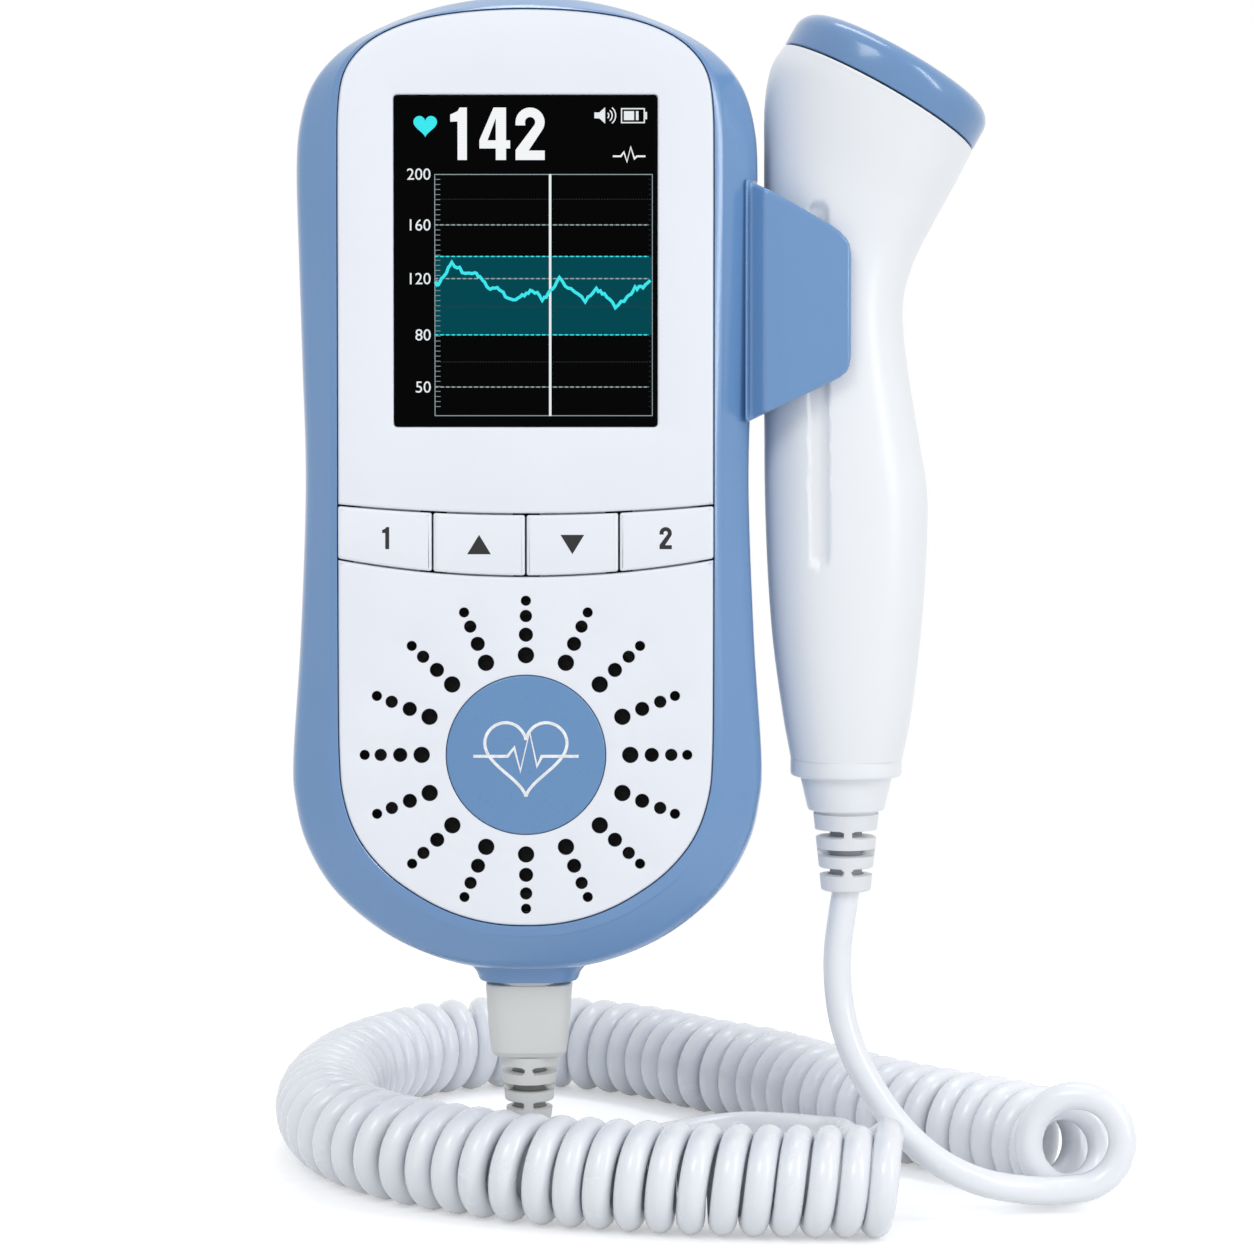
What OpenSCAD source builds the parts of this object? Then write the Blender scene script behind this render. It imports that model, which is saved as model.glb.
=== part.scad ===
// Hand-held heart-rate monitor with a display, four keys, a speaker, a side holder and
// a probe on a curly cord. Millimetres. X is to the right, Y away from the viewer, Z up.
// The origin is on the flat back of the hand unit.

/* [Hand unit] */
// Height of the casing
unit_height = 161; // [155:1:165]
// Width of the casing at its widest
unit_width = 77.8; // [76:0.2:80]
// Depth of the casing, face to back
unit_depth = 34; // [34:0.5:36]
// Thickness of the casing walls
wall = 2.2; // [2:0.1:2.4]
// Radius of the casing's rear edge
back_round = 7; // [6:0.5:8]
// Thickness of the white face plates
plate_t = 2; // [1.8:0.1:2.2]

/* [Display] */
// Width of the window
window_w = 43; // [40:0.5:44]
// Height of the window
window_h = 54; // [50:0.5:55]
// Height of the window's centre above the origin
window_z = 36.6; // [36:0.1:37]

/* [Keys] */
// Distance that a key travels
key_travel = 0.8; // [0.5:0.1:0.9]
// Gap round each key
key_gap = 0.3; // [0.2:0.05:0.4]
// How far the keys stand proud of the face
key_proud = 0.3; // [0.1:0.1:0.5]

/* [Speaker] */
// Height of the speaker's centre, below the origin
speaker_z = -43.9; // [-45:0.1:-43]
// Number of rays of sound holes
ray_count = 16; // [12:1:16]
// Radius of the round badge
badge_r = 13; // [11:0.5:13.5]
// Radius of the speaker
speaker_r = 25; // [22:0.5:26]

/* [Batteries] */
// Diameter of a cell
cell_d = 14.5; // [13.5:0.5:14.5]
// Length of a cell
cell_len = 50.5; // [49:0.5:50.5]
// Thickness of the battery cover
cover_t = 1.8; // [1.5:0.1:1.8]

/* [Probe] */
// Diameter of the probe's head
head_d = 36; // [34:0.5:36]
// Tilt of the head from upright
head_tilt = 29.4; // [29:0.1:30]
// Thickness of the blue cap on the head
cap_t = 6.8; // [6:0.1:7]
// Depth of the probe's grip, front to back
grip_depth = 23.6; // [22:0.2:23.6]
// Thickness of the probe's walls
probe_wall = 2; // [1.6:0.1:2.2]

/* [Holder] */
// Gap between the holder's wings and the probe
holder_gap = 0.7; // [0.5:0.1:0.8]
// Reach of the holder's wings from the middle of the unit
wing_reach = 53.1; // [50:0.1:54]

/* [Cord] */
// Diameter of the cord
cord_d = 5; // [4.6:0.1:5]
// Mean radius of the curls
curl_r = 6.25; // [6:0.05:6.4]
// Mean radius of the first curl, next to the probe
first_curl_r = 8; // [6.5:0.1:8.2]
// How far the first curl is held up by the probe's lead
first_curl_lift = 1.8; // [0:0.1:2]
// Distance from curl to curl on the inside of a bend
curl_pitch = 5.5; // [5.45:0.05:5.8]
// Height of the surface that the cord lies on
floor_z = -122; // [-123:0.5:-121]

/* [Hidden] */
$fn = 64;
eps = 0.01;

// colours
blue = [0.44, 0.60, 0.78];
face_white = [0.93, 0.94, 0.97];
probe_white = [0.90, 0.91, 0.94];
cord_white = [0.94, 0.94, 0.93];
plug_grey = [0.82, 0.82, 0.81];
dark = [0.08, 0.09, 0.10];
foam = [0.20, 0.20, 0.21];
steel = [0.70, 0.71, 0.73];
board_green = [0.10, 0.36, 0.20];
ceramic = [0.80, 0.74, 0.58];

// depths, from the back at 0 to the face
face_y = -unit_depth;
plate_y = face_y + plate_t;         // back of the face plates
ledge_y = plate_y + 1.6;            // back of the ledge that carries them
seam_y = -unit_depth / 2;           // joint between the two casings
board_t = 1.6;
board_y = face_y + 9.2;             // front of the circuit board
lcd_w = window_w + 4;
lcd_h = window_h + 4;

// right half of the casing's outline and of the white face's outline, top to bottom;
// the two lists run in step, so that the casing's front edge can blend between them
casing_half = [
    [0, 80.5], [9.7, 79.7], [18.2, 77.6], [26.2, 74.2], [31.6, 70.6], [35.5, 65.8],
    [37.5, 59.5], [38.1, 51.6], [37.7, 36], [37.2, 20], [36.7, 0], [37.6, -25],
    [38.9, -45], [38.5, -52.4], [36.7, -59.4], [32.4, -66.8], [25.6, -73], [18, -77.2],
    [9.4, -79.8], [0, -80.5]
];
face_half = [
    [0, 77.6], [9, 77.2], [16.8, 76], [22.6, 74], [26.8, 71.2], [29.6, 67.2],
    [30.6, 61.5], [30.75, 52], [30.75, 36], [30.75, 20], [30.75, 0], [30.75, -25],
    [30.6, -44], [29.8, -51.5], [27.4, -57.8], [23, -63.2], [17.2, -67.4], [11.6, -70.1],
    [5.8, -71.6], [0, -72]
];
drawn_height = 161;
drawn_width = 77.8;
outline_steps = 2;                  // curve pieces between two outline points

// stations of the front casing, [depth, blend towards the face outline]
front_stations = [
    [face_y, 0.90], [face_y + 0.3, 0.75], [face_y + 0.75, 0.73], [face_y + 0.75, 0.68],
    [face_y + 0.5, 0.66], [face_y + 1.7, 0.42], [face_y + 4, 0.2], [face_y + 7, 0.06],
    [face_y + 10.5, 0], [seam_y, 0]
];

// keys: the row's edges are two arcs that sag in the middle
key_top_r = 316;
key_top_z = -4.6;
key_bottom_r = 170;
key_bottom_z = -14.7;
key_split = 15.2;
key_z = -8.9;
key_x = [-22.8, -7.6, 7.6, 22.8];
stem_r = 2.4;
stem_end_y = board_y - key_travel - 0.3;
key_flange_t = 1;

// sound holes, [distance above the centre, radius], on rays that reach further sideways
ray_holes = [[16.3, 1.33], [19.65, 1.15], [22.7, 1], [25.2, 0.82]];
ray_stretch = 1.045;

// battery bay, behind the display
bay_z = 37;
bay_w = 2 * cell_d + 2;
bay_h = cell_len + 3.5;
bay_wall = 1.6;
bay_floor_y = -cell_d - 3.1;
cover_w = bay_w + 6;
cover_h = bay_h + 8;
cover_gap = 0.35;
cover_z0 = bay_z - cover_h / 2;     // lower edge
cover_round = 1.8;
hinge_r = 0.4;                      // rounding of the lower edge, which it turns on
tab_x = 10;
cell_x = cell_d / 2 + 0.4;
cell_y = -cell_d / 2 - 2.65;
contact_t = 0.4;
contact_z = bay_h / 2 - contact_t - 0.05;

// case screws
case_screws_at = [[-27.8, 58], [27.8, 58], [-28, -27], [28, -27]];
board_posts_at = [[-28.6, 3.6], [28.6, 3.6]];
screw_head_r = 2.4;
screw_head_y = -3.1;                // outer face of the sunk heads

// socket and plug, on one upright line
port_y = seam_y;
port_z = -83;
collar_seat_z = -80.6;              // where the collar meets the casing's underside
port_r = 6.4;
nose_r = 4.7;
pin_ring_r = 2.4;
socket_floor_z = port_z + 12;
pin_end_z = port_z + 4;
plug_neck_t = 0.6;
plug_end_z = -96.1;
boot_end_z = -107;

// probe: [left x, left z, right x, right z, half depth], from the cord end to the head
probe_y = -18;
grip_b = grip_depth / 2;
probe_stations = [
    [44.1, -46, 62.8, -46, 9.3], [42.7, -38.2, 64.3, -38.2, 10.5],
    [41.1, -26.5, 65.7, -26.5, 11.4], [40.2, -14.9, 66.6, -14.9, grip_b],
    [39.7, -2, 66.9, -2, grip_b], [39.6, 8, 65.4, 8, grip_b],
    [39.5, 20.5, 63.4, 20.5, grip_b], [39.5, 33, 62.7, 30, grip_b],
    [39.5, 45, 64.4, 37, grip_b + 0.2], [39.5, 55, 67.6, 43.5, grip_b + 1.6],
    [39.6, 64, 70.8, 49.3, grip_b + 3.8], [40.7, 70, 72.9, 53.3, grip_b + 5.3],
    [42.8, 73.5, 74.2, 55.8, head_d / 2]
];
probe_square = 0.25;                // how much squarer than an ellipse the grip is
probe_sides = 32;
head_at = [58.5, probe_y, 64.65];   // middle of the joint between shells and cap
cap_gap = 0.3;
end_x = 53.4;                       // upright line of the probe's cord end
spigot_r = 2.7;                     // stem of the strain relief, inside the probe
spigot_end_z = -37;
cap_skin = 1.8;                     // front wall of the cap
crystal_t = 1.2;
crystal_at = cap_gap + cap_t - cap_skin - crystal_t;
shell_end_z = -46;                  // cord end of the two shells
ring_z = -48.9;
collar_z = -55.2;
probe_boot_z = -68.2;

// groove along the front of the probe, [x, z] of its two round ends
groove_top = [47.4, 45];
groove_bottom = [48.9, -12.6];
groove_r = 2.2;
groove_depth = 0.6;

// the probe's two screws, and its board between their bosses
probe_bosses_at = [[end_x, -30], [51.4, 24]];
boss_r = 2.8;
probe_screw_y = -26;                // blind end of the screw holes
probe_head_y = -10.5;               // seat of the screw heads

// holder
holder_x = 36.3;                    // its foot, let into the casing's side
holder_face_x = 39.1;
holder_half = grip_b + holder_gap;  // half the width between the wings
wing_t = 2.7;
foot_half = holder_half + wing_t - 4;
wing_side = [
    [36, 49.9], [50.6, 42.7], [52.3, 41.2], [wing_reach, 39.2], [wing_reach, 20.8],
    [52.4, 18.8], [51.1, 17.9], [36, 11.1]
];
holder_screw_z = [20, 41];
holder_screw_y = -22;

// the cord's routes, hand chosen
probe_lead_route = [
    [52.4, -18, -79], [53, -18.4, -88], [55, -19.6, -95], [58.3, -21.2, -101.4],
    [62, -22.6, -106.4], [65.9, -23.6, -110.4], [70.4, -24.2, -113.6], [75.8, -24, -116.1],
    [81.2, -22.6, -117.4]
];
coil_route = [
    [91.4, -18.6], [88.6, -11], [82.8, -4], [74.2, 3.6], [64.7, 16.5], [54, 31], [43.5, 47], [32.8, 57.5],
    [20.6, 71], [6, 80.5], [-9, 82], [-23, 74], [-33.5, 57], [-38, 38], [-38, 19],
    [-33, 1], [-22, -14], [-4.5, -26], [11, -32], [28, -36], [44, -37.6], [59, -38]
];
plug_lead_route = [
    [1, -15, -112.6], [3, -10, -117.2], [5.6, -3, -119.2], [10.6, 8, -119.4], [17.5, 17.5, -119.3],
    [27, 24.5, -118.6], [37.5, 26, -117.6], [46, 21, -116.8], [51.5, 13, -115.6],
    [54, 4, -114], [54.8, -5, -112.8], [55, -14, -112], [55.8, -22, -110.8], [57.6, -28.4, -108.5]
];
first_curl_turns = 1.4;             // the turns that the first curl takes to narrow and settle
route_steps = 8;                    // points of the coil's route from one given point to the next
curl_rings = 8;
curl_sides = 6;
lead_sides = 10;

// ---- curves and lofts ----

function unit(v) = v / norm(v);

function catmull(a, b, c, d, t) =
    0.5 * (2 * b + (c - a) * t + (2 * a - 5 * b + 4 * c - d) * t * t
    + (3 * b - a - 3 * c + d) * t * t * t);

// a closed curve through a list of points that is mirrored about the middle
function closed_curve(half) =
    let (last = len(half) - 1,
         all = concat(half, [for (i = [last - 1 : -1 : 1]) [-half[i][0], half[i][1]]]),
         m = len(all))
    [for (i = [0 : m - 1], k = [0 : outline_steps - 1])
        catmull(all[(i + m - 1) % m], all[i], all[(i + 1) % m], all[(i + 2) % m],
                k / outline_steps)];

// an open curve through a list of points, with its ends run on straight
function open_curve(p, steps) =
    let (m = len(p), q = concat([2 * p[0] - p[1]], p, [2 * p[m - 1] - p[m - 2]]))
    concat([for (i = [1 : m - 1], k = [0 : steps - 1])
        catmull(q[i - 1], q[i], q[i + 1], q[i + 2], k / steps)], [p[m - 1]]);

function sized(half) =
    [for (p = half) [p[0] * unit_width / drawn_width, p[1] * unit_height / drawn_height]];

casing_outline = closed_curve(sized(casing_half));
face_outline = closed_curve(sized(face_half));

function blended(t) = casing_outline * (1 - t) + face_outline * t;

// an outline drawn in by d
function inset(p, d) =
    let (m = len(p))
    [for (i = [0 : m - 1])
        let (t = unit(p[(i + 1) % m] - p[(i + m - 1) % m]))
        p[i] + d * [t[1], -t[0]]];

// closed solid through rings of points, each ring right-handed about the way they follow
module loft(rings) {
    n = len(rings[0]);
    m = len(rings);
    sides = [
        for (i = [0 : m - 2], j = [0 : n - 1])
            let (a = i * n + j, b = i * n + (j + 1) % n)
            each [[a, a + n, b + n], [a, b + n, b]]
    ];
    first = [for (j = [0 : n - 1]) j];
    last = [for (j = [n - 1 : -1 : 0]) (m - 1) * n + j];
    polyhedron([for (r = rings) each r], concat([first], sides, [last]));
}

// loft from front to back through stations [depth, blend, inset]
module casing_loft(stations) {
    loft([for (s = stations) [for (p = inset(blended(s[1]), s[2])) [p[0], s[0], p[1]]]]);
}

// an X-Z drawing, as a plate from y0 to y1
module plate(y0, y1) {
    rotate([90, 0, 0]) translate([0, 0, -y1]) linear_extrude(y1 - y0) children();
}

// a profile of [radius, y] turned about the Y line through x, z
module turned_y(x, z) {
    translate([x, 0, z]) rotate([-90, 0, 0]) rotate_extrude() children();
}

module rod_y(at, y0, y1, r) {
    translate([at[0], y0, at[1]]) rotate([-90, 0, 0]) cylinder(h = y1 - y0, r = r);
}

module rod_x(x0, x1, y, z, r) {
    translate([x0, y, z]) rotate([0, 90, 0]) cylinder(h = x1 - x0, r = r);
}

module rod_z(x, y, z0, z1, r) {
    translate([x, y, z0]) cylinder(h = z1 - z0, r = r);
}

module box(low, high) {
    translate(low) cube(high - low);
}

module rounded_rect(w, h, r) {
    square([w - 2 * r, h], center = true);
    square([w, h - 2 * r], center = true);
    for (x = [-1, 1], z = [-1, 1]) {
        translate([x * (w / 2 - r), z * (h / 2 - r)]) circle(r);
    }
}

// ---- hand unit: casings ----

// quarter round of the rear edge, as stations from depth y0 towards the back
function rear_stations(r, back, y0, extra) = concat(
    [[y0, 0, extra]],
    [for (k = [0 : 4]) let (a = 90 * k / 4) [back - r + r * sin(a), 0, extra + r * (1 - cos(a))]]
);

module port_cut() {
    rod_z(0, port_y, port_z - 6, port_z + 24, 8.4);
}

module holder_pocket() {
    half = foot_half + 0.1;
    box([holder_x, probe_y - half, 10.9], [50, probe_y + half, 50.1]);
}

module rear_shell() {
    color(blue) difference() {
        union() {
            difference() {
                casing_loft(rear_stations(back_round, 0, seam_y, 0));
                casing_loft(rear_stations(back_round - wall, -wall - 0.2, seam_y - eps, wall));
            }
            plate(bay_floor_y - bay_wall, -wall) translate([0, bay_z])
                square([bay_w + 2 * bay_wall, bay_h + 2 * bay_wall], center = true);
            plate(-wall - 1.2, -wall) translate([0, bay_z])
                square([cover_w + 3, cover_h + 3], center = true);
            for (p = case_screws_at) rod_y(p, seam_y, -wall, 3.8);
        }
        plate(bay_floor_y, 1) translate([0, bay_z]) square([bay_w, bay_h], center = true);
        plate(-cover_t - 0.1, 1) translate([0, bay_z])
            rounded_rect(cover_w + 2 * cover_gap, cover_h + 2 * cover_gap, 2);
        for (x = [-tab_x, tab_x]) {
            box([x - 3.5, -wall - 3.4, cover_z0 - 3.6], [x + 3.5, -wall, cover_z0 + 4.6]);
            box([x - 3.5, -wall - 1, cover_z0 - cover_gap], [x + 3.5, 1, cover_z0 + 4.6]);
        }
        for (p = case_screws_at) {
            rod_y(p, seam_y - 1, 1, 1.6);
            rod_y(p, screw_head_y - 2.05, 1, screw_head_r + 0.3);
        }
        port_cut();
        holder_pocket();
    }
}

module front_frame() {
    color(blue) difference() {
        union() {
            difference() {
                casing_loft([for (s = front_stations) [s[0], s[1], 0]]);
                casing_loft([
                    [ledge_y, 0.25, wall + 0.2], [face_y + 7, 0.07, wall + 0.1],
                    [face_y + 10.5, 0, wall], [seam_y + eps, 0, wall]
                ]);
                plate(face_y - 1, plate_y) polygon(face_outline);
                plate(plate_y - 1, ledge_y + 1) polygon(inset(face_outline, 2.2));
            }
            for (p = case_screws_at) {
                rod_y(p, ledge_y, seam_y, 3.2);
                rod_y(p, ledge_y, board_y, 4);
            }
            for (p = board_posts_at) rod_y(p, ledge_y, board_y, 2.6);
        }
        box([-33, plate_y - eps, key_bottom_z - 2.3], [33, ledge_y + 0.1, key_top_z + 3]);
        for (p = case_screws_at) rod_y(p, ledge_y + 1, seam_y + 1, 1.35);
        for (p = board_posts_at) rod_y(p, ledge_y + 0.8, board_y + 1, 1.05);
        for (z = holder_screw_z) rod_x(30, 45, holder_screw_y, z, 1.15);
        port_cut();
        holder_pocket();
    }
}

module case_screws() {
    color(steel) for (p = case_screws_at) {
        difference() {
            union() {
                rod_y(p, screw_head_y - 2, screw_head_y, screw_head_r);
                rod_y(p, ledge_y + 2, screw_head_y - 1, 1.3);
            }
            for (a = [0, 90]) translate([p[0], screw_head_y, p[1]]) rotate([0, a, 0])
                box([-1.5, -1, -0.3], [1.5, 1, 0.3]);
        }
    }
}

// ---- hand unit: face ----

module above_keys(gap) {
    translate([0, key_top_z + key_top_r + gap / 2]) circle(key_top_r, $fn = 360);
}

module above_grille(gap) {
    translate([0, key_bottom_z + key_bottom_r + gap / 2]) circle(key_bottom_r, $fn = 360);
}

module face_2d() {
    polygon(inset(face_outline, 0.15));
}

module display_fascia() {
    color(face_white) plate(face_y, plate_y) difference() {
        intersection() {
            face_2d();
            above_keys(key_gap);
        }
        translate([0, window_z]) rounded_rect(window_w, window_h, 0.7);
    }
}

module speaker_grille() {
    color(face_white) difference() {
        plate(face_y, plate_y) difference() {
            face_2d();
            above_grille(-key_gap);
        }
        for (i = [0 : ray_count - 1], h = ray_holes) {
            a = i * 360 / ray_count;
            rod_y([ray_stretch * h[0] * sin(a), speaker_z + h[0] * cos(a)], face_y - 1, plate_y + 1, h[1]);
        }
        rod_y([0, speaker_z], face_y - 1, face_y + 0.9, badge_r + 0.1);
    }
}

module grille_badge() {
    color(blue) rod_y([0, speaker_z], face_y - 0.1, face_y + 0.9, badge_r);
}

module display_lens() {
    color(dark) plate(face_y + 0.3, plate_y + 1) translate([0, window_z])
        rounded_rect(window_w - 0.3, window_h - 0.3, 0.6);
}

module display_gasket() {
    color(foam) plate(plate_y, plate_y + 1) translate([0, window_z]) difference() {
        square([lcd_w, lcd_h], center = true);
        square([window_w + 0.4, window_h + 0.4], center = true);
    }
}

module lcd_module() {
    color(dark) plate(plate_y + 1, plate_y + 4) translate([0, window_z])
        square([lcd_w, lcd_h], center = true);
}

module display_carrier() {
    color(face_white) plate(plate_y + 4, board_y) translate([0, window_z]) difference() {
        square([lcd_w, lcd_h], center = true);
        square([lcd_w - 8, lcd_h - 8], center = true);
    }
}

// one of the four keys, 0 to 3 from the left, with its flange and its stem
module key(i) {
    color(face_white) {
        plate(face_y - key_proud, plate_y + 0.2) difference() {
            intersection() {
                face_2d();
                above_grille(key_gap);
                translate([-2 * key_split + i * key_split + key_gap / 2, -20])
                    square([key_split - key_gap, 20]);
            }
            above_keys(-key_gap);
        }
        plate(plate_y + 0.2, plate_y + 0.2 + key_flange_t)
            translate([key_x[i] - 5.4, key_bottom_z - 1.5]) square([10.8, 12.8]);
        rod_y([key_x[i], key_z], plate_y + 0.2, stem_end_y, stem_r);
    }
}

module key_1() {
    key(0);
}

module key_up() {
    key(1);
}

module key_down() {
    key(2);
}

module key_2() {
    key(3);
}

module key_mat() {
    color(foam) difference() {
        plate(board_y - 1.2, board_y) translate([0, key_z])
            square([4 * key_split, 9], center = true);
        for (x = key_x) rod_y([x, key_z], board_y - 2, board_y + 1, stem_r + 0.5);
    }
}

// ---- hand unit: inside ----

module main_board() {
    color(board_green) difference() {
        plate(board_y, board_y + board_t) intersection() {
            polygon(inset(casing_outline, 4.6));
            translate([-32, -31]) square([64, 107]);
        }
        rod_y([0, speaker_z], board_y - 1, board_y + 3, speaker_r + 1);
        for (p = case_screws_at) rod_y(p, board_y - 1, board_y + 3, 3.4);
        for (p = board_posts_at) rod_y(p, board_y - 1, board_y + 3, 1.1);
    }
}

module board_parts() {
    // [x, z, width, height, thickness] on the board's back
    parts = [
        [-24, 36, 7, 7, 1.2], [24, 40, 6, 8, 1.4], [-24, 18, 5, 4, 1.8], [24, 20, 7, 5, 1.2],
        [-8, -8, 10, 10, 1.4], [10, -10, 8, 6, 1.2], [-23, -8, 6, 6, 3], [22, -8, 5, 5, 2]
    ];
    color(dark) for (p = parts) {
        plate(board_y + board_t, board_y + board_t + p[4]) translate([p[0], p[1]])
            square([p[2], p[3]], center = true);
    }
}

module board_screws() {
    color(steel) for (p = board_posts_at) {
        rod_y(p, board_y + board_t, board_y + board_t + 1.2, 2);
        rod_y(p, ledge_y + 1.4, board_y + board_t, 1);
    }
}

module speaker_gasket() {
    color(foam) difference() {
        rod_y([0, speaker_z], plate_y, plate_y + 1.2, speaker_r);
        rod_y([0, speaker_z], plate_y - 1, plate_y + 3, speaker_r - 2.2);
    }
}

module speaker_basket() {
    front = plate_y + 1.2;
    r = speaker_r;
    color(steel) turned_y(0, speaker_z) polygon([
        [r - 2.6, front], [r, front], [r, front + 1.4], [r - 2.4, front + 1.4],
        [13, front + 8.4], [11.2, front + 8.4], [11.2, front + 7.4], [12.6, front + 7.4],
        [r - 3.6, front + 1], [r - 2.6, front + 1]
    ]);
}

module speaker_cone() {
    front = plate_y + 1.2;
    r = speaker_r;
    color(dark) turned_y(0, speaker_z) polygon([
        [0, front + 2.2], [4, front + 2.6], [6, front + 4.6], [r - 4.4, front + 0.6],
        [r - 2.7, front + 0.6], [r - 2.7, front + 1], [r - 4.2, front + 1], [6.4, front + 5.4],
        [5, front + 5.4], [5, front + 8.3], [4, front + 8.3], [4, front + 5.4], [0, front + 5.4]
    ]);
}

module speaker_magnet() {
    front = plate_y + 1.2;
    color(steel) rod_y([0, speaker_z], front + 8.4, front + 15, 12.5);
}

// the two cells lie opposite ways up, each with its nub on a contact plate
module battery_cells() {
    nub = 1;
    body = cell_len - nub;
    color("darkkhaki") for (side = [-1, 1]) translate([side * cell_x, cell_y, bay_z])
        mirror([0, 0, side < 0 ? 0 : 1]) {
            rod_z(0, 0, contact_z - nub - body, contact_z - nub, cell_d / 2);
            rod_z(0, 0, contact_z - nub, contact_z, 2.6);
        }
}

// a plate at each end of each cell, and a conical spring at its flat end
module battery_contacts() {
    spring = 2 * contact_z - cell_len;
    color(steel) for (side = [-1, 1]) translate([side * cell_x, cell_y, bay_z])
        mirror([0, 0, side < 0 ? 0 : 1]) {
            for (end = [-1, 1]) {
                z = end * (contact_z + contact_t / 2);
                box([-4.5, -4.5, z - contact_t / 2], [4.5, 4.5, z + contact_t / 2]);
            }
            translate([0, 0, -contact_z]) difference() {
                cylinder(h = spring, r1 = 4.2, r2 = 2.8);
                translate([0, 0, -1]) cylinder(h = spring + 2, r = 2);
            }
        }
}

module battery_cover() {
    pin = cover_w / 2 - cover_round;
    color(blue) {
        rod_x(-pin, pin, -hinge_r, cover_z0 + hinge_r, hinge_r);
        difference() {
            plate(-cover_t, 0) translate([0, bay_z]) rounded_rect(cover_w, cover_h, cover_round);
            box([-pin, -hinge_r, cover_z0 - 1], [pin, 1, cover_z0 + hinge_r]);
            for (k = [0 : 4]) {
                box([-7 + k * 0.4, -0.5, bay_z + cover_h / 2 - 12 + k * 2],
                    [7 - k * 0.4, 1, bay_z + cover_h / 2 - 11 + k * 2]);
            }
        }
        for (x = [-tab_x, tab_x]) {
            box([x - 3, -cover_t - 2.2, cover_z0 + 0.2], [x + 3, -cover_t, cover_z0 + 1.8]);
            box([x - 3, -cover_t - 2.2, cover_z0 - 3], [x + 3, -wall - 0.6, cover_z0 + 1.8]);
        }
    }
}

// ---- socket and plug ----

module socket_collar() {
    color(blue) difference() {
        union() {
            translate([0, port_y, port_z]) cylinder(h = collar_seat_z - port_z, r1 = 8.3, r2 = 10.3);
            rod_z(0, port_y, collar_seat_z, port_z + 7, 8.3);
            rod_z(0, port_y, collar_seat_z + 3, port_z + 7, 10);
        }
        rod_z(0, port_y, port_z - 1, port_z + 8, port_r);
    }
}

module probe_socket() {
    color(dark) difference() {
        rod_z(0, port_y, port_z + 0.4, socket_floor_z + 4, port_r - 0.1);
        rod_z(0, port_y, port_z - 1, socket_floor_z, nose_r + 0.1);
    }
}

module socket_pins() {
    color("gold") for (a = [45 : 90 : 315]) {
        rod_z(pin_ring_r * cos(a), port_y + pin_ring_r * sin(a), pin_end_z, socket_floor_z, 0.5);
    }
}

module plug_nose() {
    color(steel) difference() {
        union() {
            rod_z(0, port_y, port_z - plug_neck_t, socket_floor_z - 1, nose_r);
            rod_z(0, port_y, port_z - plug_neck_t, port_z - 0.05, 6.6);
        }
        for (a = [45 : 90 : 315]) {
            rod_z(pin_ring_r * cos(a), port_y + pin_ring_r * sin(a), pin_end_z - 1, socket_floor_z, 0.6);
        }
    }
}

// superellipse ring about x, y at height z
function oval(x, y, z, a, b, power, sides) =
    [for (k = [0 : sides - 1])
        let (c = cos(360 * k / sides), s = sin(360 * k / sides),
             e = 2 / power)
        [x + a * sign(c) * pow(abs(c), e), y + b * sign(s) * pow(abs(s), e), z]];

module plug_housing() {
    top = port_z - plug_neck_t;
    // [height, half width, half depth]
    rings = [
        [plug_end_z, 5.4, 4.6], [plug_end_z + 0.4, 6, 5.2], [plug_end_z + 1.4, 6.4, 5.6],
        [plug_end_z + 5, 6.8, 5.9], [top - 0.4, 7.3, 6.4], [top, 7, 6.1]
    ];
    color(plug_grey) loft([for (r = rings) oval(0, port_y, r[0], r[1], r[2], 4, 32)]);
}

// tapered strain relief that hangs down from z0 to z1, with rows of slots turned in turn
module slotted_boot(x, y, z0, z1, r0, r1, rows) {
    difference() {
        translate([x, y, z1]) cylinder(h = z0 - z1, r1 = r1, r2 = r0);
        for (i = [0 : len(rows) - 1]) {
            translate([x, y, rows[i]]) rotate([0, 0, 90 * (i + 1)]) difference() {
                box([-8, -8, -0.6], [8, 8, 0.6]);
                cylinder(h = 4, r = r1 * 0.72, center = true);
                box([-9, -1, -2], [9, 1, 2]);
            }
        }
    }
}

module plug_boot() {
    color(plug_grey) slotted_boot(0, port_y, plug_end_z, boot_end_z, 5, 3.7,
        [-98.4, -101.4, -104.4]);
}

// ---- holder ----

// the holder's section in plan: a foot on the casing, and a wing before and behind the probe
module holder_2d() {
    mid_x = 52.3;
    steps = 12;
    e = 2 / 2.4;
    outer_half = holder_half + wing_t;
    half = concat([for (k = [0 : steps])
        let (a = 90 * k / steps)
        [mid_x - (mid_x - holder_face_x) * pow(cos(a), e), holder_half * pow(sin(a), e)]], [
        [wing_reach + 1, holder_half], [wing_reach + 1, outer_half],
        [40.6, outer_half], [39.4, outer_half - 1], [38.3, foot_half],
        [holder_x + 0.05, foot_half]
    ]);
    translate([0, probe_y]) polygon(concat(
        half, [for (i = [len(half) - 1 : -1 : 1]) [half[i][0], -half[i][1]]]));
}

module probe_holder() {
    color(blue) difference() {
        intersection() {
            translate([0, 0, 5]) linear_extrude(50) holder_2d();
            plate(-40, 5) polygon(wing_side);
        }
        for (z = holder_screw_z) rod_x(30, 38.5, holder_screw_y, z, 1.15);
    }
}

module holder_screws() {
    color(steel) for (z = holder_screw_z) {
        rod_x(33.4, 34.7, holder_screw_y, z, 2);
        rod_x(34.6, 38.3, holder_screw_y, z, 1.1);
    }
}

// ---- probe ----

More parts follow.
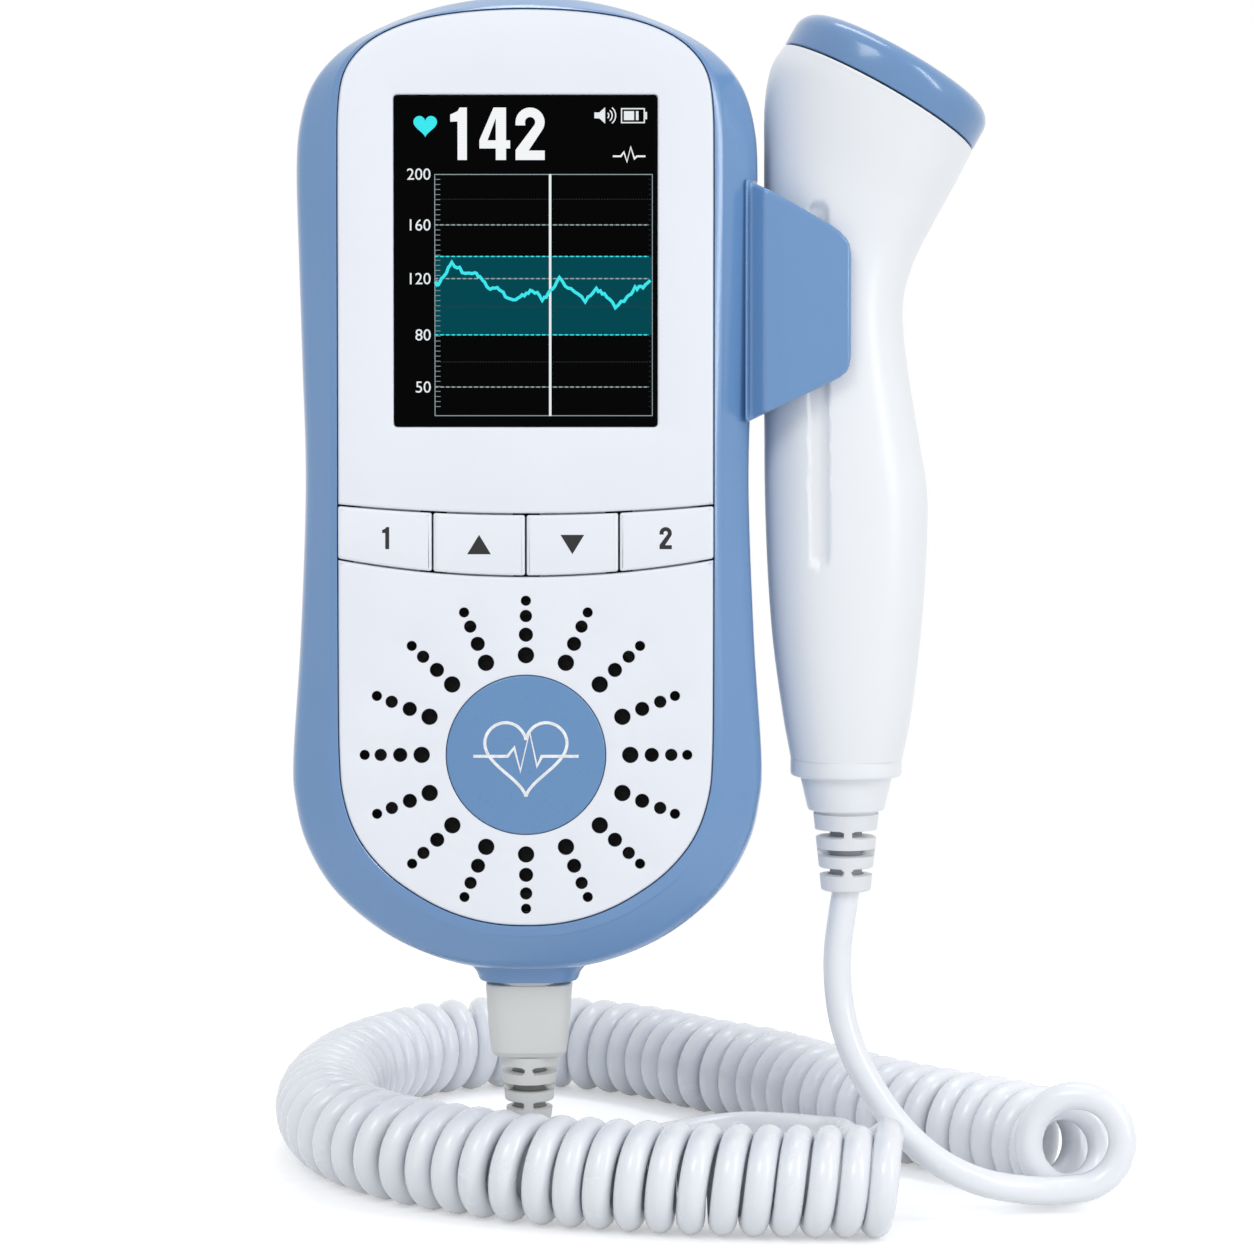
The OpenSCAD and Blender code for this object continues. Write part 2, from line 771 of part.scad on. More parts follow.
// ring between a left and a right point, drawn in by d
function probe_ring(s, d) =
    let (left = [s[0], 0, s[1]], right = [s[2], 0, s[3]],
         mid = (left + right) / 2, a = norm(right - left) / 2, u = (right - left) / (2 * a),
         e = 2 / (2 + probe_square * max(0, 1 - abs(s[4] - grip_b) / 6)))
    [for (k = [0 : probe_sides - 1])
        let (c = cos(360 * k / probe_sides), w = sin(360 * k / probe_sides))
        mid + (a - d) * sign(c) * pow(abs(c), e) * u
        + [0, probe_y + (s[4] - d) * sign(w) * pow(abs(w), e), 0]];

module probe_loft() {
    loft([for (s = probe_stations) probe_ring(s, 0)]);
}

// the same form drawn in by d, and run on past the head's end
module probe_inner(d) {
    rings = [for (s = probe_stations) probe_ring(s, d)];
    past = [for (p = rings[len(rings) - 1]) p + [sin(head_tilt), 0, cos(head_tilt)]];
    loft(concat(rings, [past]));
}

module probe_hollow() {
    difference() {
        probe_inner(probe_wall);
        box([30, -40, shell_end_z - 5], [80, 10, shell_end_z + probe_wall]);
    }
}

// the half of space before or behind the plane where the two shells meet
module probe_half(side) {
    translate([60, probe_y + side * 25, 15]) cube([70, 50, 150], center = true);
}

module probe_groove() {
    difference() {
        plate(-40, probe_y) hull() {
            translate(groove_top) circle(groove_r);
            translate(groove_bottom) circle(groove_r);
        }
        probe_inner(groove_depth);
    }
}

module at_head() {
    translate(head_at) rotate([0, head_tilt, 0]) children();
}

module probe_bosses(y0, y1, r) {
    for (p = probe_bosses_at) rod_y(p, y0, y1, r);
}

module spigot_hole() {
    rod_z(end_x, probe_y, probe_boot_z, spigot_end_z - 1, spigot_r + 0.1);
}

module probe_shell_front() {
    color(probe_white) difference() {
        union() {
            difference() {
                probe_loft();
                probe_hollow();
            }
            probe_bosses(probe_y - grip_b + 1, probe_y, boss_r - 0.4);
        }
        probe_half(1);
        probe_groove();
        spigot_hole();
        probe_bosses(probe_screw_y, probe_y + 1, 1.05);
    }
}

module probe_shell_rear() {
    color(probe_white) difference() {
        union() {
            difference() {
                probe_loft();
                probe_hollow();
            }
            probe_bosses(probe_y + board_t, probe_y + grip_b - 1, boss_r);
        }
        probe_half(-1);
        spigot_hole();
        probe_bosses(probe_y - 1, 0, 1.2);
        probe_bosses(probe_head_y, 0, 2.1);
    }
}

module probe_screws() {
    color(steel) {
        probe_bosses(probe_screw_y + 1, probe_head_y, 1);
        probe_bosses(probe_head_y, probe_head_y + 1.4, 1.9);
    }
}

module probe_cap() {
    r = head_d / 2;
    edge = 3.4;
    skirt = 3;
    color(blue) at_head() translate([0, 0, cap_gap]) difference() {
        union() {
            rotate_extrude() {
                square([r, cap_t - edge]);
                square([r - edge, cap_t]);
                translate([r - edge, cap_t - edge]) circle(edge);
            }
            translate([0, 0, -skirt]) cylinder(h = skirt + 1, r = r - probe_wall - 1.2);
        }
        translate([0, 0, -skirt - 1])
            cylinder(h = cap_t - cap_skin + skirt + 1, r = r - probe_wall - 2.8);
    }
}

module probe_crystals() {
    color(ceramic) at_head() translate([0, 0, crystal_at]) difference() {
        cylinder(h = crystal_t, r = 12.5);
        box([-20, -0.4, -1], [20, 0.4, crystal_t + 1]);
    }
}

module crystal_backing() {
    backing_t = 6.8;
    color(foam) at_head() translate([0, 0, crystal_at - backing_t]) cylinder(h = backing_t, r = 12.8);
}

module probe_board() {
    color(board_green) difference() {
        box([46.6, probe_y, -34], [58, probe_y + board_t, 28.5]);
        probe_bosses(probe_y - 1, probe_y + 3, 1.2);
    }
}

module cable_clamp() {
    color(foam) difference() {
        translate([end_x, probe_y, spigot_end_z - 2.5]) cube([10, 8, 5], center = true);
        rod_z(end_x, probe_y, probe_boot_z, spigot_end_z + 1, spigot_r + 0.05);
    }
}

module probe_end_ring() {
    h = shell_end_z - ring_z;
    r = 9.35;
    edge = 0.65;
    color(probe_white) difference() {
        translate([end_x, probe_y, ring_z]) rotate_extrude() {
            square([r - edge, h]);
            translate([0, edge]) square([r, h - edge]);
            translate([r - edge, edge]) circle(edge);
        }
        spigot_hole();
    }
}

module probe_collar() {
    color(probe_white) difference() {
        translate([end_x, probe_y, collar_z]) cylinder(h = ring_z - collar_z, r1 = 6.4, r2 = 7.75);
        spigot_hole();
    }
}

module probe_boot() {
    color(probe_white) {
        slotted_boot(end_x, probe_y, collar_z, probe_boot_z, 5.5, 4.15, [-58.5, -61.7, -64.9]);
        rod_z(end_x, probe_y, collar_z - 1, spigot_end_z, spigot_r);
    }
}

// ---- cord ----

// a tube of rings square to the path, with its two end directions given
module cord_tube(path, first_way, last_way, sides) {
    m = len(path);
    way = [for (i = [0 : m - 1])
        i == 0 ? first_way : i == m - 1 ? last_way : unit(path[i + 1] - path[i - 1])];
    side0 = unit(cross(way[0], abs(way[0][2]) < 0.9 ? [0, 0, 1] : [0, 1, 0]));
    side = [for (i = 0, n = side0; i < m; i = i + 1,
        n = i < m ? unit(n - (n * way[i]) * way[i]) : n) n];
    loft([for (i = [0 : m - 1])
        let (u = side[i], v = cross(way[i], u))
        [for (k = [0 : sides - 1])
            path[i] + cord_d / 2 * (cos(360 * k / sides) * u + sin(360 * k / sides) * v)]]);
}

// the coil's centre line in plan, and its direction at each point
coil_mid = open_curve(coil_route, route_steps);
coil_n = len(coil_mid);
coil_way = [for (i = [0 : coil_n - 1])
    unit(coil_mid[min(i + 1, coil_n - 1)] - coil_mid[max(i - 1, 0)])];

// sum of a list up to each of its places
function running(v) = [for (i = 0, s = 0; i <= len(v); s = s + (i < len(v) ? v[i] : 0), i = i + 1) s];

// turns made by the cord in each step of the centre line: a bend has fewer, because
// the curls are as close on its inside as they are on a straight run
coil_step = [for (i = [0 : coil_n - 2])
    let (run = norm(coil_mid[i + 1] - coil_mid[i]),
         bend = norm(coil_way[i + 1] - coil_way[i]),
         r = i < route_steps ? first_curl_r : curl_r)
    (run - r * bend) / curl_pitch];
coil_turns_free = running(coil_step);
coil_curls = floor(coil_turns_free[coil_n - 1]) + 0.5;   // it ends half a turn on, at the top
coil_turns = coil_turns_free * coil_curls / coil_turns_free[coil_n - 1];

// the place on the centre line, in points of coil_mid, at which a number of turns is made
function coil_place(turn) =
    let (t = min(turn, coil_curls - 0.0001),
         i = len([for (c = coil_turns) if (c <= t) 1]) - 1)
    i + (t - coil_turns[i]) / (coil_turns[i + 1] - coil_turns[i]);

function between(list, place) =
    let (i = min(floor(place), len(list) - 2)) list[i] + (list[i + 1] - list[i]) * (place - i);

// how much a turn still has of the first curl's size and lift
function first_share(turn) = let (t = min(1, turn / first_curl_turns)) 1 - t * t * (3 - 2 * t);

// the cord's centre after a number of turns
function curl_point(turn) =
    let (place = coil_place(turn), c = between(coil_mid, place), w = unit(between(coil_way, place)),
         share = first_share(turn),
         r = curl_r + (first_curl_r - curl_r) * share,
         a = 360 * turn - 90)
    [c[0] + r * cos(a) * w[1], c[1] - r * cos(a) * w[0],
     floor_z + cord_d / 2 + first_curl_lift * share + r + r * sin(a)];

curl_path = [for (i = [0 : coil_curls * curl_rings]) curl_point(i / curl_rings)];
curl_last = len(curl_path) - 1;
coil_in_way = unit(curl_point(0.02) - curl_point(0));
coil_out_way = unit(curl_point(coil_curls - 0.001) - curl_point(coil_curls - 0.021));
coil_in = curl_path[0] - cord_d * coil_in_way;
coil_out = curl_path[curl_last] + cord_d * coil_out_way;

// least gap from the cord to its next curl, on the path's points
coil_gap = min([for (i = [0 : curl_last - curl_rings - 2], k = [curl_rings - 2 : curl_rings + 2])
    norm(curl_path[i + k] - curl_path[i])]) - cord_d;
echo(curls = coil_curls, least_gap_to_itself = coil_gap);

module cord_coil() {
    color(cord_white) cord_tube(concat([coil_in], curl_path, [coil_out]),
        coil_in_way, coil_out_way, curl_sides);
}

module cord_probe_lead() {
    start = [end_x, probe_y, probe_boot_z];
    color(cord_white) cord_tube(
        open_curve(concat([start], probe_lead_route, [coil_in]), 2),
        [0, 0, -1], coil_in_way, lead_sides);
}

module cord_plug_lead() {
    start = [0, port_y, boot_end_z];
    color(cord_white) cord_tube(
        open_curve(concat([start], plug_lead_route, [coil_out]), 2),
        [0, 0, -1], -coil_out_way, lead_sides);
}

rear_shell();
front_frame();
display_fascia();
speaker_grille();
grille_badge();
display_lens();
display_gasket();
lcd_module();
display_carrier();
key_1();
key_up();
key_down();
key_2();
key_mat();
main_board();
board_parts();
board_screws();
speaker_gasket();
speaker_basket();
speaker_cone();
speaker_magnet();
battery_cells();
battery_contacts();
battery_cover();
case_screws();
probe_holder();
holder_screws();
socket_collar();
probe_socket();
socket_pins();
plug_nose();
plug_housing();
plug_boot();
probe_shell_front();
probe_shell_rear();
probe_cap();
probe_crystals();
crystal_backing();
probe_board();
cable_clamp();
probe_screws();
probe_end_ring();
probe_collar();
probe_boot();
cord_probe_lead();
cord_coil();
cord_plug_lead();
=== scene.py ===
"""Hand-held heart-rate monitor: a casing with a display, four keys and a speaker, a side holder,
a probe, and the curly cord between them.

Drawings are in millimetres and become metres as each mesh is made. X is to the right, Y away from
the viewer and Z up, from an origin on the flat back of the hand unit."""

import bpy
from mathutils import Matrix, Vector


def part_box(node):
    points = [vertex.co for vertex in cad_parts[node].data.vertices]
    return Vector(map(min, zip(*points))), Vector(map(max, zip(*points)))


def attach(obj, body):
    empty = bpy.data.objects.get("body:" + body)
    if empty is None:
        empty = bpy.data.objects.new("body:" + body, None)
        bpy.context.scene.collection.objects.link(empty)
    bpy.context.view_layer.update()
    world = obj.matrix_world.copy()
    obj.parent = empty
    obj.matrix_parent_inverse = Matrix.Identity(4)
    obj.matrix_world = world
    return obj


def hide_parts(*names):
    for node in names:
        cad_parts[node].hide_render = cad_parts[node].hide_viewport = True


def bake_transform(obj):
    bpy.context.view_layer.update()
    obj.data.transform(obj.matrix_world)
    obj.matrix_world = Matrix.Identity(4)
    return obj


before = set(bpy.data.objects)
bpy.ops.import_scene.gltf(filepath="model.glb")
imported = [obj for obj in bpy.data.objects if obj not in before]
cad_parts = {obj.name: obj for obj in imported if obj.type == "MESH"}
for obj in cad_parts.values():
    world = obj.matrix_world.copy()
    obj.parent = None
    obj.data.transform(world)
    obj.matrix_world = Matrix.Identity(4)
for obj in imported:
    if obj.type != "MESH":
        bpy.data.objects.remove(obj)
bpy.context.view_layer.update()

import math
import random

import bmesh
import bpy
from bpy.props import FloatProperty, FloatVectorProperty, IntProperty, PointerProperty
from mathutils import Matrix, Vector

bl_info = {
    "name": "Hand-held Heart-rate Monitor",
    "version": (1, 0, 0),
    "blender": (4, 5, 0),
    "location": "3D View > Sidebar > Monitor",
    "description": "Dresses the parts of a hand-held heart-rate monitor, its probe and its curly cord",
    "category": "Object",
}

MM = 0.001


def node_box(name):
    """Lowest and highest corner of a part, in millimetres."""
    low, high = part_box(name)
    return low / MM, high / MM


def paint(red, green, blue):
    """Colour setting of an 8-bit colour."""
    def linear(value):
        value /= 255
        return value / 12.92 if value <= 0.04045 else ((value + 0.055) / 1.055) ** 2.4
    return linear(red), linear(green), linear(blue)


# ---- settings ----

def colour_setting(name, description, default):
    return FloatVectorProperty(
        name=name, description=description, subtype="COLOR", default=default, min=0, max=1)


def length_setting(name, description, default, low, high):
    return FloatProperty(
        name=name, description=description, unit="LENGTH", default=default, min=low, max=high)


class CasingSettings(bpy.types.PropertyGroup):
    """Casings, holder and socket collar"""
    blue: colour_setting("Blue", "Colour of the casings, the holder and the collar", paint(102, 144, 193))
    seam: length_setting("Seam", "Rounding of the edges where the casings meet", 0.00025, 0.0001, 0.0005)
    wall: length_setting("Wall", "Thickness of the casing walls", 0.0022, 0.0018, 0.0026)


class FaceSettings(bpy.types.PropertyGroup):
    """Face plates, keys, badge and display"""
    white: colour_setting("White", "Colour of the face plates and keys", paint(233, 237, 245))
    badge: colour_setting("Badge", "Colour of the round badge", paint(97, 140, 188))
    legend: colour_setting("Legends", "Colour of the marks on the keys", paint(20, 20, 23))
    glow: colour_setting("Trace", "Colour of the trend line and the heart", paint(62, 236, 242))
    band: colour_setting("Band", "Colour of the normal range on the display", paint(0, 72, 82))
    edge: length_setting("Edge", "Rounding of the edges of plates and keys", 0.0005, 0.0001, 0.0006)


class ProbeSettings(bpy.types.PropertyGroup):
    """Probe and its strain relief"""
    white: colour_setting("White", "Colour of the probe's shells", paint(236, 239, 243))
    groove: length_setting("Groove", "Depth of the groove along the grip", 0.00075, 0.0002, 0.0008)


class CordSettings(bpy.types.PropertyGroup):
    """Curly cord and plug"""
    white: colour_setting("Cord", "Colour of the cord", paint(237, 240, 246))
    plug: colour_setting("Plug", "Colour of the plug", paint(214, 215, 213))
    diameter: length_setting("Diameter", "Diameter of the cord", 0.0047, 0.0046, 0.005)
    curl: length_setting("Curl", "Mean radius of the curls", 0.0067, 0.006, 0.007)
    pitch: length_setting("Pitch", "Distance from curl to curl inside a bend", 0.00478, 0.0047, 0.0058)
    rings: IntProperty(name="Rings", description="Rings of the mesh in each curl", default=32, min=12, max=48)


class StageSettings(bpy.types.PropertyGroup):
    """Camera and lamps"""
    lens: FloatProperty(name="Lens", description="Focal length of the camera", unit="CAMERA",
                        default=89.0, min=50, max=150)
    key: FloatProperty(name="Key lamp", description="Power of the key lamp", unit="POWER",
                       default=2.5, min=0, max=50)
    fill: FloatProperty(name="Fill lamp", description="Power of the fill lamp", unit="POWER",
                        default=1.8, min=0, max=50)


class MonitorSettings(bpy.types.PropertyGroup):
    """All settings of the monitor"""
    casing: PointerProperty(type=CasingSettings)
    face: PointerProperty(type=FaceSettings)
    probe: PointerProperty(type=ProbeSettings)
    cord: PointerProperty(type=CordSettings)
    stage: PointerProperty(type=StageSettings)


# ---- curves ----

def catmull(a, b, c, d, t):
    """Point between b and c on the smooth curve through four points."""
    return tuple(
        0.5 * (2 * q + (r - p) * t + (2 * p - 5 * q + 4 * r - s) * t ** 2
               + (3 * q - p - 3 * r + s) * t ** 3)
        for p, q, r, s in zip(a, b, c, d))


def mirrored_curve(half, steps):
    """Closed smooth outline, anticlockwise, through a right half given from top to bottom."""
    points = half + [(-x, z) for x, z in reversed(half[1:-1])]
    n = len(points)
    clockwise = [catmull(points[i - 1], points[i], points[(i + 1) % n], points[(i + 2) % n], k / steps)
                 for i in range(n) for k in range(steps)]
    return clockwise[::-1]


def cut_by(outline, height, above, pieces=60):
    """Part of an outline above or below the curve z = height(x), which becomes its edge."""
    n = len(outline)
    over = [z - height(x) for x, z in outline]
    kept = [(value > 0) == above for value in over]
    first = next(i for i in range(n) if kept[i] and not kept[i - 1])
    count = next(k for k in range(1, n) if not kept[(first + k) % n])

    def crossing(i):
        before, after = (i - 1) % n, i % n
        x0, x1 = outline[before][0], outline[after][0]
        return x0 + (x1 - x0) * over[before] / (over[before] - over[after])

    start, end = crossing(first + count), crossing(first)
    edge = [start + (end - start) * k / pieces for k in range(pieces + 1)]
    return [outline[(first + k) % n] for k in range(count)] + [(x, height(x)) for x in edge]


def smooth_path(points, steps):
    """Open smooth curve through points of any number of values, its ends run on straight."""
    first = tuple(2 * a - b for a, b in zip(points[0], points[1]))
    last = tuple(2 * a - b for a, b in zip(points[-1], points[-2]))
    q = [first, *points, last]
    out = [catmull(q[i - 1], q[i], q[i + 1], q[i + 2], k / steps)
           for i in range(1, len(points)) for k in range(steps)]
    return out + [tuple(points[-1])]


def inset(outline, distance):
    """Outline that runs anticlockwise in X and Z, drawn in by a distance."""
    out = []
    n = len(outline)
    for i, (x, z) in enumerate(outline):
        (px, pz), (qx, qz) = outline[i - 1], outline[(i + 1) % n]
        before = Vector((pz - z, x - px)).normalized()
        after = Vector((z - qz, qx - x)).normalized()
        mitre = (before + after).normalized()
        reach = distance / max(mitre.dot(after), 0.4)
        out.append((x + mitre.x * reach, z + mitre.y * reach))
    return out


def soften(outline, radius, steps=5, least_turn=25):
    """Outline with every sharp corner turned into an arc, of a radius or of radius(x)."""
    out = []
    n = len(outline)
    for i in range(n):
        corner = Vector(outline[i])
        back = Vector(outline[i - 1]) - corner
        ahead = Vector(outline[(i + 1) % n]) - corner
        turn = math.pi - back.angle(ahead)
        if turn < math.radians(least_turn):
            out.append(tuple(corner))
            continue
        own = radius(corner.x) if callable(radius) else radius
        reach = min(own * math.tan(turn / 2), back.length * 0.45, ahead.length * 0.45)
        start, end = corner + back.normalized() * reach, corner + ahead.normalized() * reach
        for k in range(steps + 1):
            t = k / steps
            out.append(tuple(start.lerp(corner, t).lerp(corner.lerp(end, t), t)))
    return out


def circle(x, z, radius, sides):
    """Circle as an anticlockwise outline."""
    return [(x + radius * math.cos(2 * math.pi * k / sides), z + radius * math.sin(2 * math.pi * k / sides))
            for k in range(sides)]


def rectangle(x, z, width, height, radius):
    """Rectangle with rounded corners, by its middle and size."""
    corners = [(x - width / 2, z - height / 2), (x + width / 2, z - height / 2),
               (x + width / 2, z + height / 2), (x - width / 2, z + height / 2)]
    return soften(corners, radius)


# ---- meshes ----

# edges that turn by more than this many degrees are sharp, and faces of carved pieces
# that are larger than this many square metres are shaded flat
SHARP = 35
FLAT_FACE = 6e-6


class Shape:
    """Mesh of one piece, drawn in millimetres."""

    def __init__(self):
        self.mesh = bmesh.new()

    def ring(self, points):
        return [self.mesh.verts.new(p) for p in points]

    def skin(self, rings, material=0, round_end=False):
        """Faces between rings of points. round_end joins the last ring to the first."""
        made = [self.ring(r) for r in rings]
        pairs = list(zip(made, made[1:])) + ([(made[-1], made[0])] if round_end else [])
        for low, high in pairs:
            n = len(low)
            for i in range(n):
                face = self.mesh.faces.new((low[i], low[(i + 1) % n], high[(i + 1) % n], high[i]))
                face.smooth = True
                face.material_index = material
        return made

    def cap(self, ring, material=0):
        face = self.mesh.faces.new(ring)
        face.material_index = material
        face.smooth = False

    def loft(self, rings, material=0):
        """Closed solid through rings, with flat ends."""
        made = self.skin(rings, material)
        self.cap(made[0], material)
        self.cap(made[-1], material)

    def fill(self, rings, material=0):
        """Flat faces inside the first ring and outside the others."""
        edges = [self.mesh.edges.get((a, b)) for ring in rings for a, b in zip(ring, ring[1:] + ring[:1])]
        made = bmesh.ops.triangle_fill(self.mesh, use_beauty=True, edges=edges, normal=(0, -1, 0))
        for item in made["geom"]:
            if isinstance(item, bmesh.types.BMFace):
                item.smooth = False
                item.material_index = material

    def plate(self, outline, face, back, edge, holes=(), dents=(), wall=0, hole_edge=None):
        """Flat plate from its face to its back depth, with rounded edges on the face side.
        Holes go right through; dents are (outline, depth). wall is the material inside them, which on the
        speaker plate is a painted shade."""
        steps = 4
        hole_edge = hole_edge or edge
        way = 1 if back > face else -1
        fronts, backs = [], []
        for loop, side, end in ([(outline, 1, back)] + [(h, -1, back) for h in holes]
                                + [(d, -1, face + way * depth) for d, depth in dents]):
            arc = [math.pi / 2 * k / steps for k in range(steps + 1)]
            bend = edge if side > 0 else hole_edge
            rings = [[(x, face + way * bend * (1 - math.sin(a)), z)
                      for x, z in inset(loop, side * bend * (1 - math.cos(a)))] for a in arc]
            rounded = self.skin(rings)
            bottom = self.ring([(x, end, z) for x, z in loop])
            n = len(bottom)
            for i in range(n):
                quad = self.mesh.faces.new((bottom[i], bottom[(i + 1) % n],
                                            rounded[0][(i + 1) % n], rounded[0][i]))
                quad.smooth = True
                quad.material_index = wall if side < 0 else 0
            fronts.append(rounded[-1])
            if end == back:
                backs.append(bottom)
            else:
                self.cap(bottom, wall)
        self.fill(fronts)
        self.fill(backs)

    def flat(self, outline, face, thickness, material=0, holes=()):
        """Thin flat mark with square edges."""
        loops = [self.skin([[(x, y, z) for x, z in loop] for y in (face - thickness, face)], material)
                 for loop in [outline, *holes]]
        self.fill([front for front, _ in loops], material)
        self.fill([back for _, back in loops], material)

    def line(self, points, width, face, thickness, material=0):
        """Thin flat line drawn through points."""
        rings = []
        for i, (x, z) in enumerate(points):
            here = Vector((x, z))
            before = (here - Vector(points[i - 1])).normalized() if i else None
            after = (Vector(points[i + 1]) - here).normalized() if i + 1 < len(points) else None
            way = ((before or after) + (after or before)).normalized()
            side = Vector((-way.y, way.x)) * width / 2 / max(way.dot(after or before), 0.6)
            rings.append([(x + side.x, face, z + side.y), (x - side.x, face, z - side.y),
                          (x - side.x, face - thickness, z - side.y),
                          (x + side.x, face - thickness, z + side.y)])
        self.loft(rings, material)

    def figures(self, text, right, bottom, height, face, thickness, material=0):
        """Plain figures that end at the right."""
        curve = bpy.data.curves.new("figures", "FONT")
        curve.body = text
        curve.extrude = 0.5
        curve.resolution_u = 4
        item = bpy.data.objects.new("figures", curve)
        bpy.context.scene.collection.objects.link(item)
        data = bpy.data.meshes.new_from_object(item.evaluated_get(bpy.context.evaluated_depsgraph_get()))
        xs = [v.co.x for v in data.vertices]
        ys = [v.co.y for v in data.vertices]
        scale = height / (max(ys) - min(ys))
        for v in data.vertices:
            x, y, depth = v.co
            v.co = (right + (x - max(xs)) * scale, face - thickness * (depth + 0.5),
                    bottom + (y - min(ys)) * scale)
        old = len(self.mesh.faces)
        self.mesh.from_mesh(data)
        self.mesh.faces.ensure_lookup_table()
        for made in self.mesh.faces[old:]:
            made.material_index = material
        bpy.data.objects.remove(item)
        bpy.data.curves.remove(curve)
        bpy.data.meshes.remove(data)

    def box(self, low, high, material=0):
        (x0, y0, z0), (x1, y1, z1) = low, high
        self.loft([[(x0, y, z0), (x1, y, z0), (x1, y, z1), (x0, y, z1)] for y in (y0, y1)], material)

    def turned(self, profile, place, sides=96):
        """Solid turned about an axis: profile is [radius, height], and place maps height upwards."""
        rings = []
        for radius, height in profile:
            rings.append([place @ Vector((radius * math.cos(2 * math.pi * k / sides),
                                          radius * math.sin(2 * math.pi * k / sides), height))
                          for k in range(sides)])
        self.loft(rings)

    def object(self, name, crease=SHARP):
        """Object of the shape in metres, its edges sharp where they turn by more than crease."""
        bmesh.ops.recalc_face_normals(self.mesh, faces=self.mesh.faces)
        bmesh.ops.scale(self.mesh, vec=(MM, MM, MM), verts=self.mesh.verts)
        data = bpy.data.meshes.new(name)
        self.mesh.to_mesh(data)
        self.mesh.free()
        data.set_sharp_from_angle(angle=math.radians(crease))
        item = bpy.data.objects.new(name, data)
        bpy.context.scene.collection.objects.link(item)
        return item


def dress(item, body, materials, replaces=()):
    """Gives a piece its materials, its body and the parts that it stands for."""
    for material in materials:
        item.data.materials.append(material)
    if body:
        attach(item, body)
    if replaces:
        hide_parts(*replaces)
    return item


def carve(item, operation, tool):
    """Joins a tool to an object, or cuts it out, and removes the tool."""
    step = item.modifiers.new("carve", "BOOLEAN")
    step.operation = operation
    step.solver = "EXACT"
    step.object = tool
    old = item.data
    item.data = bpy.data.meshes.new_from_object(
        item.evaluated_get(bpy.context.evaluated_depsgraph_get()))
    item.modifiers.clear()
    bpy.data.meshes.remove(old)
    bpy.data.objects.remove(tool)
    item.data.set_sharp_from_angle(angle=math.radians(SHARP))
    for face in item.data.polygons:
        face.use_smooth = face.area < FLAT_FACE
    return item


def rounded_profile(points, radius, steps=5):
    """Profile with arcs at its corners: points are (a, b) or (a, b, own radius)."""
    out = []
    for i, point in enumerate(points):
        own = point[2] if len(point) > 2 else radius
        corner = Vector(point[:2])
        if i in (0, len(points) - 1) or own == 0:
            out.append(tuple(corner))
            continue
        back, ahead = Vector(points[i - 1][:2]) - corner, Vector(points[i + 1][:2]) - corner
        turn = math.pi - back.angle(ahead)
        reach = min(own * math.tan(turn / 2), back.length * 0.48, ahead.length * 0.48)
        start, end = corner + back.normalized() * reach, corner + ahead.normalized() * reach
        for k in range(steps + 1):
            t = k / steps
            out.append(tuple(start.lerp(corner, t).lerp(corner.lerp(end, t), t)))
    return out


# ---- finishes ----

def new_material(name):
    """Material with a shader and the object's own coordinates."""
    material = bpy.data.materials.new(name)
    material.use_nodes = True
    tree = material.node_tree
    coords = tree.nodes.new("ShaderNodeTexCoord")
    return material, tree, tree.nodes["Principled BSDF"], coords.outputs["Object"]


def noise(tree, where, size, detail=3, rough=0.5):
    """Noise with blobs of a size in metres."""
    node = tree.nodes.new("ShaderNodeTexNoise")
    node.inputs["Scale"].default_value = 1 / size
    node.inputs["Detail"].default_value = detail
    node.inputs["Roughness"].default_value = rough
    tree.links.new(where, node.inputs["Vector"])
    return node.outputs["Fac"]


def spread(tree, value, low, high):
    """Maps the middle of a noise to a range."""
    node = tree.nodes.new("ShaderNodeMapRange")
    node.inputs["From Min"].default_value = 0.3
    node.inputs["From Max"].default_value = 0.7
    node.inputs["To Min"].default_value = low
    node.inputs["To Max"].default_value = high
    tree.links.new(value, node.inputs["Value"])
    return node.outputs["Result"]


def mixed(tree, factor, first, second):
    """Colour between two colours."""
    node = tree.nodes.new("ShaderNodeMix")
    node.data_type = "RGBA"
    tree.links.new(factor, node.inputs["Factor"])
    for socket, colour in ((node.inputs[6], first), (node.inputs[7], second)):
        if isinstance(colour, bpy.types.NodeSocket):
            tree.links.new(colour, socket)
        else:
            socket.default_value = (*colour, 1)
    return node.outputs[2]


def bumped(tree, shader, heights):
    """Bumps from (height, strength, depth in metres), one on the other."""
    normal = None
    for height, strength, depth in heights:
        node = tree.nodes.new("ShaderNodeBump")
        node.inputs["Strength"].default_value = strength
        node.inputs["Distance"].default_value = depth
        tree.links.new(height, node.inputs["Height"])
        if normal:
            tree.links.new(normal, node.inputs["Normal"])
        normal = node.outputs["Normal"]
    tree.links.new(normal, shader.inputs["Normal"])


def shaded(colour, share):
    """Colour made darker or brighter by a share."""
    return tuple(min(1.0, c * share) for c in colour)


